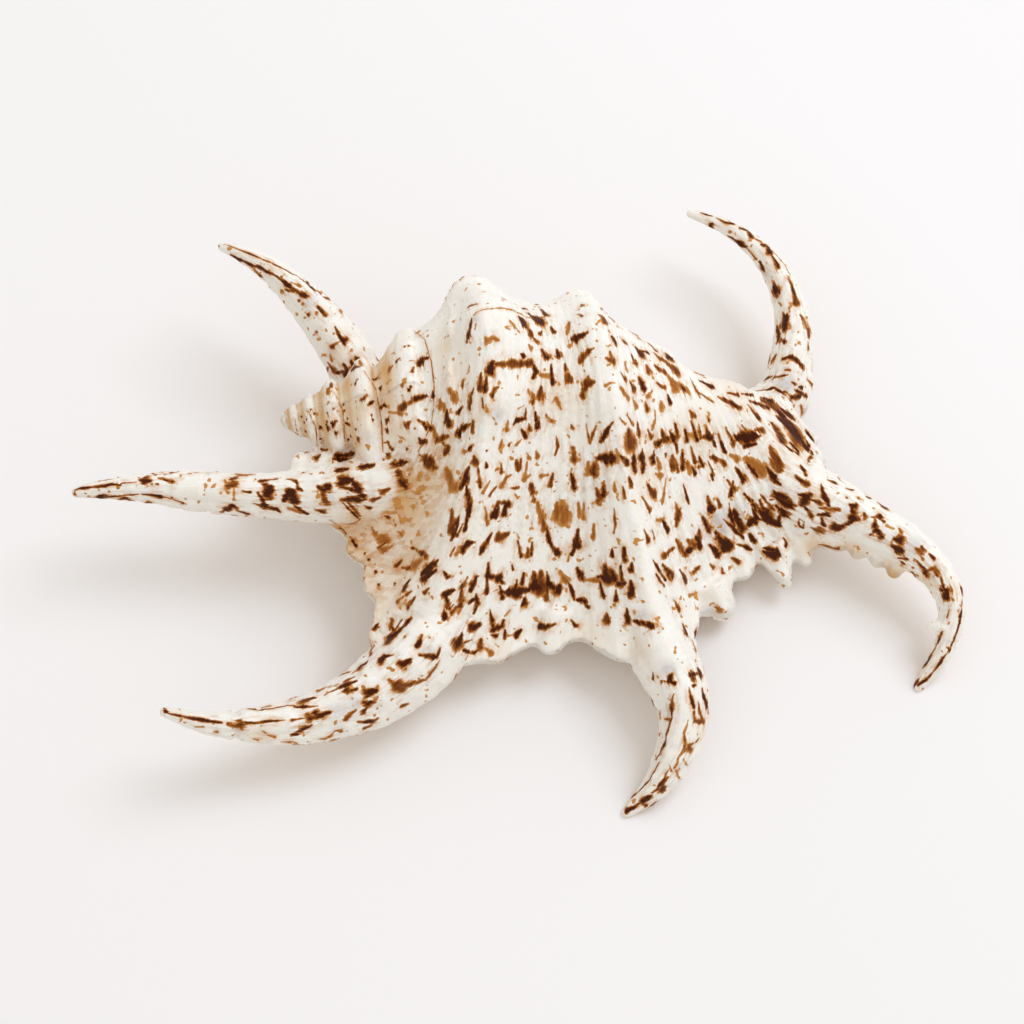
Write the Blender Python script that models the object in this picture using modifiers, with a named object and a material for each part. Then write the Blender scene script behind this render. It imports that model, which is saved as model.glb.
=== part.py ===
"""Chiragra spider conch, one grown piece.

The shell lies on its mouth side with the spire to -X, the canal to +X and the flared lip towards -Y.
Four groups of forms overlap and are fused into one solid: the spire, the last whorl with its lip,
the six long digits, and the small teeth of the lip. The mouth is then cut out from below.
Sizes are in millimetres and are turned into metres where a mesh is made.
"""
import math

import bmesh
import bpy
import numpy as np

MM = 0.001

# The box of the whole shell is centred on the origin by this shift in plan.
SHIFT_X = -0.08
SHIFT_Y = 11.8

# The fused solid: voxel size, smoothing turns before and after the mouth is cut, and share of triangles kept.
VOXEL = 0.8
SMOOTH_FUSED = 5
SMOOTH_CUT = 3
KEPT_SHARE = 0.071

# The spire: a cone of whorls that grow by a fixed ratio each turn. Radii are shares of the cone's radius.
SPIRE_START = (-53.0, 1.0, 24.5)
SPIRE_END = (-6.0, 1.5, 27.5)
APEX_CUT = 5.2
LAST_SUTURE = 34.0
WHORL_RATIO = 1.4
CONE_SLOPE = 0.54
CONE_POINT = 3.2
SHOULDER_NODES = 12
SHOULDER_PLACE = 0.74
SHOULDER_WIDTH = 0.17
SHOULDER_LIFT = 0.15
NODE_LIFT = 0.12
RAMP_DEPTH = 0.055
SUTURE_DEPTH = 0.19
SUTURE_WIDTH = 0.045
WHORL_BASE = 0.90
SPIRE_LENGTH = 41.0
SPIRE_RINGS = 100
SPIRE_SIDES = 96

# The last whorl: one row for each flow line, from the last suture to the canal.
# crest x, y, z | bend x, y | lip x, y, z | back x, y, z | belly y, z | fall | lip thickness
FLOW_LINES = (
    (-19.5, 3.0, 42.5, -22.0, -12.0, -40.0, -13.0, 21.0, -21.0, 17.5, 27.0, 2.0, 10.0, 1.1, 8.0),
    (-16.5, 3.0, 44.5, -19.0, -16.0, -35.6, -20.8, 18.0, -18.0, 19.0, 28.0, 3.0, 6.0, 1.25, 5.5),
    (-12.0, 4.0, 47.0, -14.0, -22.0, -30.0, -31.5, 16.5, -14.0, 21.5, 29.0, 4.0, 2.5, 1.35, 5.0),
    (-5.5, 7.0, 50.5, -7.0, -28.0, -27.0, -47.0, 15.0, -9.0, 23.0, 31.0, 5.0, 0.0, 1.3, 7.0),
    (3.0, 5.0, 48.5, 2.0, -25.0, -9.0, -45.2, 12.0, -1.0, 22.0, 30.0, 6.0, -1.0, 1.5, 4.5),
    (9.0, 5.0, 47.0, 11.0, -25.0, 9.0, -40.5, 11.0, 6.0, 21.5, 29.0, 6.0, -1.2, 1.5, 4.5),
    (15.0, 6.0, 46.5, 20.0, -22.0, 28.0, -46.0, 14.0, 12.0, 21.5, 29.0, 7.0, -1.2, 1.3, 7.0),
    (23.0, 6.0, 41.0, 29.0, -20.0, 37.0, -33.0, 8.0, 20.0, 18.0, 26.0, 7.0, -0.5, 1.25, 4.5),
    (31.0, 5.0, 35.0, 38.0, -14.0, 47.0, -24.0, 7.5, 28.0, 13.6, 22.5, 7.0, 0.5, 1.15, 4.5),
    (38.0, 4.5, 30.0, 46.0, -10.0, 56.0, -22.0, 8.0, 36.0, 11.0, 19.0, 6.5, 2.0, 1.1, 4.5),
    (43.5, 5.0, 26.0, 52.0, -6.0, 65.0, -17.0, 14.0, 43.0, 10.0, 16.0, 6.5, 3.5, 1.0, 6.0),
    (48.5, 5.5, 21.5, 55.0, 0.0, 61.5, -5.0, 12.0, 49.0, 9.5, 14.0, 7.0, 4.5, 1.0, 5.0),
    (53.0, 7.5, 17.5, 56.0, 4.0, 59.0, 2.5, 11.5, 53.0, 10.5, 12.0, 8.0, 5.5, 1.0, 4.0),
)
ROW_STEPS = 7

# Points of each ring: down the slope, over the back, round the belly and along the underside.
SLOPE_POINTS = 26
BACK_POINTS = 14
BELLY_POINTS = 12
UNDER_POINTS = 18
CREST_SOFT = 0.25
BACK_FLARE = 0.95
BACK_SQUARE = 0.9
BELLY_SQUARE = 0.8
UNDER_FALL = 1.5

# Ribs run down the rows of three digits, and a canal runs under each of four.
RIB_ROWS = (3.0, 6.0, 9.6)
RIB_HEIGHT = (1.6, 1.6, 0.8)
RIB_WIDTH = 0.42
RIB_POINTS = 36
CANAL_ROWS = (0.0, 3.1, 6.0, 10.0)
CANAL_DEPTH = 1.6
CANAL_WIDTH = 0.3

# Knobs on the ribs: x, y, z, height, radius.
KNOBS = (
    (-11.0, 23.5, 23.0, 2.6, 5.0),
    (-9.8, 21.5, 38.0, 4.0, 5.0),
    (-5.5, 10.5, 49.0, 3.6, 6.0),
    (-4.5, -4.0, 49.5, 1.6, 5.5),
    (10.0, 22.0, 22.0, 2.2, 4.6),
    (10.5, 20.0, 36.0, 3.2, 4.4),
    (13.0, 9.0, 45.0, 2.8, 5.0),
    (16.5, -2.5, 46.0, 1.6, 5.0),
    (26.0, 11.5, 31.0, 1.5, 4.0),
)

# The digits, from the one behind the spire round to the canal: middle line as x, y, z, radius.
DIGITS = (
    ((-20.0, -4.0, 10.0, 4.0), (-30.5, 10.0, 14.5, 5.2), (-35.9, 18.2, 19.5, 4.9),
     (-41.8, 25.0, 23.5, 4.0), (-48.6, 31.2, 26.0, 2.9), (-54.6, 35.0, 26.8, 2.0), (-60.4, 37.2, 27.0, 1.0)),
    ((-13.0, -7.0, 27.0, 4.0), (-25.0, -11.5, 24.5, 7.4), (-38.0, -13.2, 22.5, 5.9),
     (-46.5, -13.6, 22.0, 4.8), (-55.4, -13.4, 22.0, 4.2), (-65.0, -12.8, 22.8, 4.0),
     (-73.0, -12.6, 23.5, 3.0), (-81.0, -13.0, 24.0, 2.1), (-87.3, -13.8, 24.0, 1.2)),
    ((-9.0, -26.0, 16.0, 3.5), (-18.0, -41.0, 14.0, 7.8), (-27.0, -49.4, 12.5, 7.2),
     (-34.5, -53.8, 12.5, 5.9), (-43.0, -56.9, 13.5, 4.7), (-52.0, -58.4, 15.8, 3.5),
     (-60.5, -58.8, 19.0, 2.3), (-68.6, -57.6, 22.5, 1.1)),
    ((21.0, -24.0, 14.0, 3.0), (26.5, -40.0, 12.5, 6.4), (31.0, -51.0, 11.5, 5.6),
     (31.4, -57.5, 10.0, 4.6), (29.5, -63.0, 7.4, 3.9), (26.2, -68.0, 3.9, 2.8), (20.6, -72.6, 0.2, 1.3)),
    ((42.0, -3.0, 15.0, 4.0), (56.0, -10.5, 15.0, 6.4), (69.0, -16.8, 13.5, 4.9),
     (76.6, -21.4, 13.5, 4.2), (83.0, -27.7, 12.5, 3.3), (85.4, -34.2, 9.8, 2.7),
     (83.8, -41.0, 5.6, 2.2), (79.5, -47.0, 0.2, 1.3)),
    ((38.0, 5.0, 12.0, 3.0), (52.0, 10.0, 10.5, 5.6), (54.8, 18.0, 12.0, 4.4), (55.1, 27.0, 14.5, 3.5),
     (52.7, 35.0, 16.0, 2.9), (48.2, 41.4, 16.5, 2.3), (42.0, 46.2, 16.5, 1.7), (34.6, 49.4, 16.0, 1.0)),
)
DIGIT_SIDES = 28
DIGIT_STEPS = 6
KEEL = 0.09
SEAM_DEPTH = 0.16
SEAM_WIDTH = 0.3
TIP_LEANS = (0.35, 0.7, 1.0, 1.3)

# Small lobes on the edge of the lip: root x, y, z, radius and tip x, y, z, radius.
LOBES = (
    ((50.0, -19.0, 9.0, 4.0), (53.2, -26.8, 5.2, 2.2)),
    ((55.0, -18.0, 9.0, 3.0), (57.8, -24.0, 6.5, 2.0)),
    ((6.5, -34.0, 12.0, 5.0), (5.6, -40.0, 9.8, 3.0)),
    ((37.0, -27.0, 8.0, 5.0), (40.0, -31.5, 5.0, 3.2)),
    ((84.0, -38.0, 9.0, 2.0), (81.6, -36.8, 8.5, 1.4)),
    ((-36.0, -8.5, 23.0, 5.0), (-43.0, -7.4, 22.5, 2.6)),
)

# The block that trims the flat resting spots.
FLOOR_SIDE = 300.0
FLOOR_DEPTH = 20.0

# Scallops along the lip: depth and waves for each flow line.
SCALLOP_DEPTH = 0.9
SCALLOP_WAVES = 1.7

# The mouth, cut from below: x, y of the slot's middle, top z, half width of slot and hollow, turn in degrees.
MOUTH = (
    (-33.0, -11.0, 12.0, 1.2, 1.2, 20.0),
    (-22.0, -9.5, 22.0, 3.0, 3.4, 50.0),
    (-6.0, -9.0, 38.0, 4.2, 6.2, 98.0),
    (12.0, -8.5, 36.0, 4.5, 6.2, 98.0),
    (28.0, -5.5, 26.0, 4.2, 4.8, 88.0),
    (42.0, 0.0, 15.0, 3.2, 3.2, 45.0),
    (54.0, 7.0, 8.0, 2.2, 2.0, 20.0),
)
MOUTH_STEPS = 6
SLOT_DEPTH = 6.0
CURL_SHARE = 0.45
CURL_START = -20.0
CURL_POINTS = 11
CURL_END = 0.55


def smooth_rows(rows, steps):
    """Rows of numbers carried smoothly from each to the next, with steps rows for each gap."""
    rows = np.array(rows, dtype=float)
    padded = np.vstack((2.0 * rows[0] - rows[1], rows, 2.0 * rows[-1] - rows[-2]))
    out = []
    for i in range(1, len(padded) - 2):
        before, start, end, after = padded[i - 1:i + 3]
        for k in range(steps):
            t = k / steps
            out.append(0.5 * (2.0 * start + (end - before) * t
                              + (2.0 * before - 5.0 * start + 4.0 * end - after) * t ** 2
                              + (3.0 * start - before - 3.0 * end + after) * t ** 3))
    out.append(padded[-2])
    return np.array(out)


def loft(rings):
    """A closed mesh through rings of equal count, with a cap at each end."""
    count, sides = len(rings), len(rings[0])
    mesh = bmesh.new()
    verts = [[mesh.verts.new(tuple(point * MM)) for point in ring] for ring in rings]
    for i in range(count - 1):
        for j in range(sides):
            k = (j + 1) % sides
            mesh.faces.new((verts[i][j], verts[i][k], verts[i + 1][k], verts[i + 1][j]))
    mesh.faces.new(list(reversed(verts[0])))
    mesh.faces.new(verts[-1])
    bmesh.ops.recalc_face_normals(mesh, faces=mesh.faces)
    return mesh


def make_object(name, mesh, collection):
    """A new object in the collection from a bmesh."""
    data = bpy.data.meshes.new(name)
    mesh.to_mesh(data)
    mesh.free()
    item = bpy.data.objects.new(name, data)
    collection.objects.link(item)
    return item


def spire_radius(along, angle):
    """Radius of the spire at a distance from the cone's point and a growth angle."""
    turns = np.log(along / LAST_SUTURE) / math.log(WHORL_RATIO) - angle / (2.0 * math.pi)
    place = turns - np.floor(turns)
    shoulder = np.exp(-((place - SHOULDER_PLACE) / SHOULDER_WIDTH) ** 2)
    ramp = RAMP_DEPTH * np.sin(math.pi * place) ** 2
    suture = np.exp(-(np.minimum(place, 1.0 - place) / SUTURE_WIDTH) ** 2)
    nodes = 0.5 + 0.5 * np.cos(SHOULDER_NODES * angle)
    relief = (SHOULDER_LIFT + NODE_LIFT * nodes) * shoulder - ramp - SUTURE_DEPTH * suture
    return CONE_SLOPE * (along - CONE_POINT) * (WHORL_BASE + relief)


def spire():
    """The coiled spire around its axis, which leans up slightly towards the body."""
    start, end = np.array(SPIRE_START), np.array(SPIRE_END)
    axis = (end - start) / np.linalg.norm(end - start)
    side = np.cross(np.array((0.0, 0.0, 1.0)), axis)
    side /= np.linalg.norm(side)
    up = np.cross(axis, side)
    angles = np.linspace(0.0, 2.0 * math.pi, SPIRE_SIDES, endpoint=False)
    rings = []
    for along in np.linspace(APEX_CUT, SPIRE_LENGTH, SPIRE_RINGS):
        rounding = math.sqrt(min(1.0, (along - APEX_CUT + 0.15) / 1.2))
        radius = spire_radius(along, angles) * rounding
        middle = start + axis * along
        rings.append(middle + np.outer(radius * np.cos(angles), up) - np.outer(radius * np.sin(angles), side))
    return loft(rings)


def flow_ring(row):
    """One closed ring of the last whorl: lip edge, slope, crest, back, belly and underside."""
    crest, bend, lip, back = row[0:3], row[3:5], row[5:8], row[8:11]
    belly_y, belly_z, fall, thick = row[11:15]
    points = []
    for t in np.linspace(1.0, 0.0, SLOPE_POINTS, endpoint=False):
        soft = (math.hypot(t, CREST_SOFT) - CREST_SOFT) / (math.hypot(1.0, CREST_SOFT) - CREST_SOFT)
        plan = (1.0 - t) ** 2 * crest[:2] + 2.0 * t * (1.0 - t) * bend + t ** 2 * lip[:2]
        height = lip[2] + (crest[2] - lip[2]) * max(0.0, 1.0 - soft) ** fall
        points.append((plan[0], plan[1], height))
    for angle in np.linspace(0.0, math.pi / 2.0, BACK_POINTS, endpoint=False):
        plan = crest[:2] + (back[:2] - crest[:2]) * math.sin(angle) ** BACK_FLARE
        points.append((plan[0], plan[1], back[2] + (crest[2] - back[2]) * math.cos(angle) ** BACK_SQUARE))
    belly = np.array((0.5 * (crest[0] + back[0]), belly_y, belly_z))
    for angle in np.linspace(0.0, math.pi / 2.0, BELLY_POINTS, endpoint=False):
        plan = belly[:2] + (back[:2] - belly[:2]) * math.cos(angle) ** BELLY_SQUARE
        height = belly[2] + (back[2] - belly[2]) * (1.0 - math.sin(angle) ** BELLY_SQUARE)
        points.append((plan[0], plan[1], height))
    under = np.array((lip[0], lip[1], lip[2] - thick))
    inward = belly[:2] - lip[:2]
    inward /= np.linalg.norm(inward)
    under[:2] += inward * 0.3 * thick
    middle = 0.4 * belly[:2] + 0.6 * bend
    for t in np.linspace(0.0, 1.0, UNDER_POINTS):
        plan = (1.0 - t) ** 2 * belly[:2] + 2.0 * t * (1.0 - t) * middle + t ** 2 * under[:2]
        height = belly[2] + (under[2] - belly[2]) * t ** UNDER_FALL
        points.append((plan[0], plan[1], height))
    points.append(tuple(lip - np.array((inward[0], inward[1], 0.0)) * 0.02 * thick
                        - np.array((0.0, 0.0, 0.5 * thick))))
    return np.array(points)


def last_whorl():
    """The body whorl with its ribs, knobs and flared lip."""
    rows = smooth_rows(FLOW_LINES, ROW_STEPS)
    across = np.arange(len(rows)) / ROW_STEPS
    outward = rows[:, 5:7] - rows[:, 3:5]
    outward /= np.linalg.norm(outward, axis=1, keepdims=True)
    rows[:, 5:7] += SCALLOP_DEPTH * outward * np.sin(2.0 * math.pi * SCALLOP_WAVES * across)[:, None]
    rings = np.array([flow_ring(row) for row in rows])
    upper = np.zeros(rings.shape[1])
    upper[:RIB_POINTS] = np.sin(np.linspace(0.09, 0.75, RIB_POINTS) * math.pi)
    along_u = np.gradient(rings, axis=0)
    along_v = np.gradient(rings, axis=1)
    normal = np.cross(along_u, along_v)
    normal /= np.linalg.norm(normal, axis=2, keepdims=True) + 1e-9
    lift = np.zeros(rings.shape[:2])
    for middle, height in zip(RIB_ROWS, RIB_HEIGHT):
        lift += height * np.outer(np.exp(-((across - middle) / RIB_WIDTH) ** 2), upper)
    for x, y, z, height, radius in KNOBS:
        gap = np.linalg.norm(rings - np.array((x, y, z)), axis=2)
        lift += height * np.exp(-(gap / radius) ** 2)
    under = np.zeros(rings.shape[1])
    start = SLOPE_POINTS + BACK_POINTS + BELLY_POINTS
    under[start:start + UNDER_POINTS] = np.sin(np.linspace(0.0, 1.0, UNDER_POINTS) * math.pi)
    for middle in CANAL_ROWS:
        lift -= CANAL_DEPTH * np.outer(np.exp(-((across - middle) / CANAL_WIDTH) ** 2), under)
    rings += normal * lift[:, :, None]
    return loft(list(rings))


def horn(points):
    """A tapered tube along a smooth line through points of x, y, z, radius.

    Its section has a keel on top and a seam below, and its tip is rounded.
    """
    rows = smooth_rows(points, DIGIT_STEPS)
    line, radii = rows[:, :3], rows[:, 3]
    tangents = np.gradient(line, axis=0)
    tangents /= np.linalg.norm(tangents, axis=1, keepdims=True)
    angles = np.linspace(0.0, 2.0 * math.pi, DIGIT_SIDES, endpoint=False)
    section = 1.0 + KEEL * np.cos(3.0 * (angles - 0.5 * math.pi))
    section -= SEAM_DEPTH * np.exp(-((angles - 1.5 * math.pi) / SEAM_WIDTH) ** 2)
    rings = []
    for middle, tangent, radius in zip(line, tangents, radii):
        side = np.cross(tangent, np.array((0.0, 0.0, 1.0)))
        side /= np.linalg.norm(side)
        up = np.cross(side, tangent)
        ring = np.outer(section * np.cos(angles), side) + np.outer(section * np.sin(angles), up)
        rings.append(middle + radius * ring)
    end, tangent, radius = line[-1], tangents[-1], radii[-1]
    up = np.cross(side, tangent)
    for lean in TIP_LEANS:
        ring = np.outer(np.cos(angles), side) + np.outer(np.sin(angles), up)
        rings.append(end + tangent * radius * math.sin(lean) + ring * radius * math.cos(lean))
    return loft(rings)


def mouth_cutter():
    """The hollow of the mouth: a slot below that widens and curls up over the columella."""
    rings = []
    for x, middle, top, slot, hollow, turn in smooth_rows(MOUTH, MOUTH_STEPS):
        radius = CURL_SHARE * top
        path = [(middle, -SLOT_DEPTH), (middle, 0.0)]
        for angle in np.radians(np.linspace(CURL_START, turn, CURL_POINTS)):
            path.append((middle + radius * (1.0 - math.cos(angle)), top - radius + radius * math.sin(angle)))
        path = np.array(path)
        ahead = np.gradient(path, axis=0)
        ahead /= np.linalg.norm(ahead, axis=1, keepdims=True)
        out = np.column_stack((ahead[:, 1], -ahead[:, 0]))
        share = np.linspace(0.0, 1.0, len(path))
        width = np.interp(share, (0.0, 0.25, 0.6, 1.0), (slot, slot, hollow, CURL_END * hollow))[:, None]
        outline = np.vstack((path + out * width, (path - out * width)[::-1]))
        rings.append(np.column_stack((np.full(len(outline), x), outline)))
    return loft(rings)


def porcelain():
    """Cream porcelain with a soft sheen."""
    material = bpy.data.materials.new("cream_porcelain_shell")
    material.use_nodes = True
    shader = material.node_tree.nodes["Principled BSDF"]
    shader.inputs["Base Color"].default_value = (0.80, 0.68, 0.54, 1.0)
    shader.inputs["Roughness"].default_value = 0.34
    shader.inputs["Metallic"].default_value = 0.0
    return material


def add_skin(item, name, turns):
    """One skin over all overlapping forms of the object, smoothed."""
    skin = item.modifiers.new(name, "REMESH")
    skin.mode = "VOXEL"
    skin.voxel_size = VOXEL * MM
    smooth = item.modifiers.new(name + "_smooth", "SMOOTH")
    smooth.factor = 0.5
    smooth.iterations = turns


def add_cut(item, name, cutter):
    """Cut one shape out of the object."""
    cut = item.modifiers.new(name, "BOOLEAN")
    cut.operation = "DIFFERENCE"
    cut.solver = "EXACT"
    cut.object = cutter


def join_forms(forms):
    """All forms in one mesh, moved so that the box of the shell is centred on the origin."""
    joined = bmesh.new()
    for form in forms:
        data = bpy.data.meshes.new("form")
        form.to_mesh(data)
        form.free()
        joined.from_mesh(data)
        bpy.data.meshes.remove(data)
    bmesh.ops.translate(joined, vec=(SHIFT_X * MM, SHIFT_Y * MM, 0.0), verts=joined.verts)
    return joined


def floor_block():
    """A block under the floor, which trims the shell flat where it rests."""
    block = bmesh.new()
    bmesh.ops.create_cube(block, size=1.0)
    bmesh.ops.scale(block, vec=(FLOOR_SIDE * MM, FLOOR_SIDE * MM, FLOOR_DEPTH * MM), verts=block.verts)
    bmesh.ops.translate(block, vec=(0.0, 0.0, -0.5 * FLOOR_DEPTH * MM), verts=block.verts)
    return block


def main():
    for item in list(bpy.data.objects):
        bpy.data.objects.remove(item)
    parts = bpy.data.collections.new("chiragra_spider_conch")
    cutters = bpy.data.collections.new("cutters")
    for collection in (parts, cutters):
        bpy.context.scene.collection.children.link(collection)

    horns = [horn(points) for points in DIGITS + LOBES]
    shell = make_object("shell", join_forms([spire(), last_whorl()] + horns), parts)
    shell.data.materials.append(porcelain())

    mouth = make_object("mouth_cutter", join_forms([mouth_cutter()]), cutters)
    skin = mouth.modifiers.new("skin", "REMESH")
    skin.mode = "VOXEL"
    skin.voxel_size = VOXEL * MM
    floor = make_object("floor_cutter", floor_block(), cutters)
    for cutter in (mouth, floor):
        cutter.hide_render = True
        cutter.display_type = "WIRE"

    add_skin(shell, "fused", SMOOTH_FUSED)
    add_cut(shell, "mouth", mouth)
    add_skin(shell, "cut", SMOOTH_CUT)
    fewer = shell.modifiers.new("fewer", "DECIMATE")
    fewer.ratio = KEPT_SHARE
    add_cut(shell, "rest", floor)


main()
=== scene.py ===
"""The chiragra spider conch, dressed: one glazed, flecked shell on a pale floor.

The forms are the ones that the solid is built from, in a finer skin. Its spire is stepped more deeply, and
it has a few small lobes more, cords, growth lines and scars, and fine ridges in its mouth. Its markings are
strokes, read one by one from the picture, that the camera casts onto the skin. The thin strokes along the
spire's sutures are painted shade, and so is a tan line in the groove of each suture.
Sizes are in millimetres and are turned into metres where a mesh is made.
"""
import math

import bmesh
import bpy
import numpy as np
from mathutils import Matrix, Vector
from mathutils.bvhtree import BVHTree
from mathutils.kdtree import KDTree


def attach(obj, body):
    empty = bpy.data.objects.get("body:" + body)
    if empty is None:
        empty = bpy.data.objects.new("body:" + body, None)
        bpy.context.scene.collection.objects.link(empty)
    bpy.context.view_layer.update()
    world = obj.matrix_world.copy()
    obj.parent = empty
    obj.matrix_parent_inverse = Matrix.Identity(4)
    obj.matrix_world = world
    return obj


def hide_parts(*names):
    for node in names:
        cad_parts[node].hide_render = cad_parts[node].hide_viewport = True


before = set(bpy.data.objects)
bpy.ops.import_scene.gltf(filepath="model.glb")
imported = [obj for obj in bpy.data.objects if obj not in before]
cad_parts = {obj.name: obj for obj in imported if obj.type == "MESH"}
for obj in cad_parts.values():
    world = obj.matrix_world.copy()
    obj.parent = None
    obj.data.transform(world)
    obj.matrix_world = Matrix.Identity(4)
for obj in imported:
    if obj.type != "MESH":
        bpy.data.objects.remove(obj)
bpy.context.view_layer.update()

bl_info = {
    "name": "Chiragra Spider Conch",
    "version": (1, 0, 0),
    "blender": (4, 5, 0),
    "location": "3D Viewport > Sidebar > Conch",
    "description": "Builds a spider conch shell with its markings, and a plain stage for it",
    "category": "Add Mesh",
}

MM = 0.001
TURN = 2.0 * math.pi

# ---- The forms ----

# The box of the whole shell is centred on the origin by this shift in plan.
SHIFT = np.array((-0.08, 11.8, 0.0))

# The spire: a cone of whorls that grow by a fixed ratio each turn. Radii are shares of the cone's radius.
SPIRE_START = np.array((-53.0, 1.0, 24.5))
SPIRE_END = np.array((-6.0, 1.5, 27.5))
SPIRE_LENGTH = 41.0
SPIRE_RINGS = 160
SPIRE_SIDES = 144
WHORL_RATIO = 1.4
LAST_SUTURE = 35.4
CONE_POINT = 2.8
CONE_SLOPE = 0.54
WHORL_BASE = 0.81

# The cone is cut here, short of its point, and the cut is rounded over this length, from this much open.
APEX_CUT = 5.2
APEX_ROUND = 1.2
APEX_OPEN = 0.15

# Each whorl has a shoulder with nodes: their number for each turn, how late and how round the shoulder
# swells, its lift and its nodes' lift, and the depth and width of the suture between two whorls.
SHOULDER_NODES = 12
SHOULDER_LATE = 1.9
SHOULDER_ROUND = 0.75
SHOULDER_LIFT = 0.25
NODE_LIFT = 0.10
SUTURE_DEPTH = 0.08
SUTURE_WIDTH = 0.05

# The shoulders lose this share of their lift on the lip's side, between these places along the axis, so
# that none stands out of the bay that covers them.
LIP_FLAT = 0.85
LIP_FLAT_ALONG = (27.0, 33.0)

# The last whorl: one row for each flow line, from the last suture to the canal.
# crest x, y, z | bend x, y | lip x, y, z | back x, y, z | belly y, z | fall | lip thickness
FLOW_LINES = (
    (-19.5, 3.0, 42.5, -22.0, -12.0, -40.0, -13.0, 21.0, -21.0, 17.5, 27.0, 2.0, 10.0, 1.1, 8.0),
    (-16.5, 3.0, 44.5, -19.0, -16.0, -35.6, -20.8, 18.0, -18.0, 19.0, 28.0, 3.0, 6.0, 1.25, 5.5),
    (-12.0, 4.0, 47.0, -14.0, -22.0, -30.0, -31.5, 16.5, -14.0, 21.5, 29.0, 4.0, 2.5, 1.35, 5.0),
    (-5.5, 7.0, 50.5, -7.0, -28.0, -27.0, -47.0, 15.0, -9.0, 23.0, 31.0, 5.0, 0.0, 1.3, 7.0),
    (3.0, 5.0, 48.5, 2.0, -25.0, -9.0, -45.2, 12.0, -1.0, 22.0, 30.0, 6.0, -1.0, 1.5, 4.5),
    (9.0, 5.0, 47.0, 11.0, -25.0, 9.0, -40.5, 11.0, 6.0, 21.5, 29.0, 6.0, -1.2, 1.5, 4.5),
    (15.0, 6.0, 46.5, 20.0, -22.0, 28.0, -46.0, 14.0, 12.0, 21.5, 29.0, 7.0, -1.2, 1.3, 7.0),
    (23.0, 6.0, 41.0, 29.0, -20.0, 37.0, -33.0, 8.0, 20.0, 18.0, 26.0, 7.0, -0.5, 1.25, 4.5),
    (31.0, 5.0, 35.0, 38.0, -14.0, 47.0, -24.0, 7.5, 28.0, 13.6, 22.5, 7.0, 0.5, 1.15, 4.5),
    (38.0, 4.5, 30.0, 46.0, -10.0, 56.0, -22.0, 8.0, 36.0, 11.0, 19.0, 6.5, 2.0, 1.1, 4.5),
    (43.5, 5.0, 26.0, 52.0, -6.0, 65.0, -17.0, 14.0, 43.0, 10.0, 16.0, 6.5, 3.5, 1.0, 6.0),
    (48.5, 5.5, 21.5, 55.0, 0.0, 61.5, -5.0, 12.0, 49.0, 9.5, 14.0, 7.0, 4.5, 1.0, 5.0),
    (53.0, 7.5, 17.5, 56.0, 4.0, 59.0, 2.5, 11.5, 53.0, 10.5, 12.0, 8.0, 5.5, 1.0, 4.0),
)
ROW_STEPS = 10

# Points of each ring: down the slope, over the back, round the belly and along the underside.
SLOPE_POINTS = 40
BACK_POINTS = 20
BELLY_POINTS = 16
UNDER_POINTS = 26

# How soft the crest is, how full the back, the belly and the underside are, and where the underside
# bends.
CREST_SOFT = 0.25
BACK_FLARE = 0.95
BACK_SQUARE = 0.9
BELLY_SQUARE = 0.8
UNDER_FALL = 1.5
UNDER_BEND = 0.6

# The lip's edge is set in by these shares of its thickness, below and at its middle.
EDGE_INSET = 0.3
EDGE_ROUND = 0.02

# Ribs run down the rows of three digits, and a canal runs under each of four. A rib swells and fades over
# this part of a half wave, and ends this many points past the middle of the back.
RIB_ROWS = (3.0, 6.0, 9.6)
RIB_HEIGHT = (1.6, 1.6, 0.8)
RIB_WIDTH = 0.42
RIB_SWELL = (0.09, 0.75)
RIB_PAST = 3
CANAL_ROWS = (0.0, 3.1, 6.0, 10.0)
CANAL_DEPTH = 1.6
CANAL_WIDTH = 0.3

# Knobs on the ribs: x, y, z, height, radius.
KNOBS = (
    (-11.0, 23.5, 23.0, 2.6, 5.0),
    (-9.8, 21.5, 38.0, 4.0, 5.0),
    (-5.5, 10.5, 49.0, 3.6, 6.0),
    (-4.5, -4.0, 49.5, 1.6, 5.5),
    (10.0, 22.0, 22.0, 2.2, 4.6),
    (10.5, 20.0, 36.0, 3.2, 4.4),
    (13.0, 9.0, 45.0, 2.8, 5.0),
    (16.5, -2.5, 46.0, 1.6, 5.0),
    (26.0, 11.5, 31.0, 1.5, 4.0),
)

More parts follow.
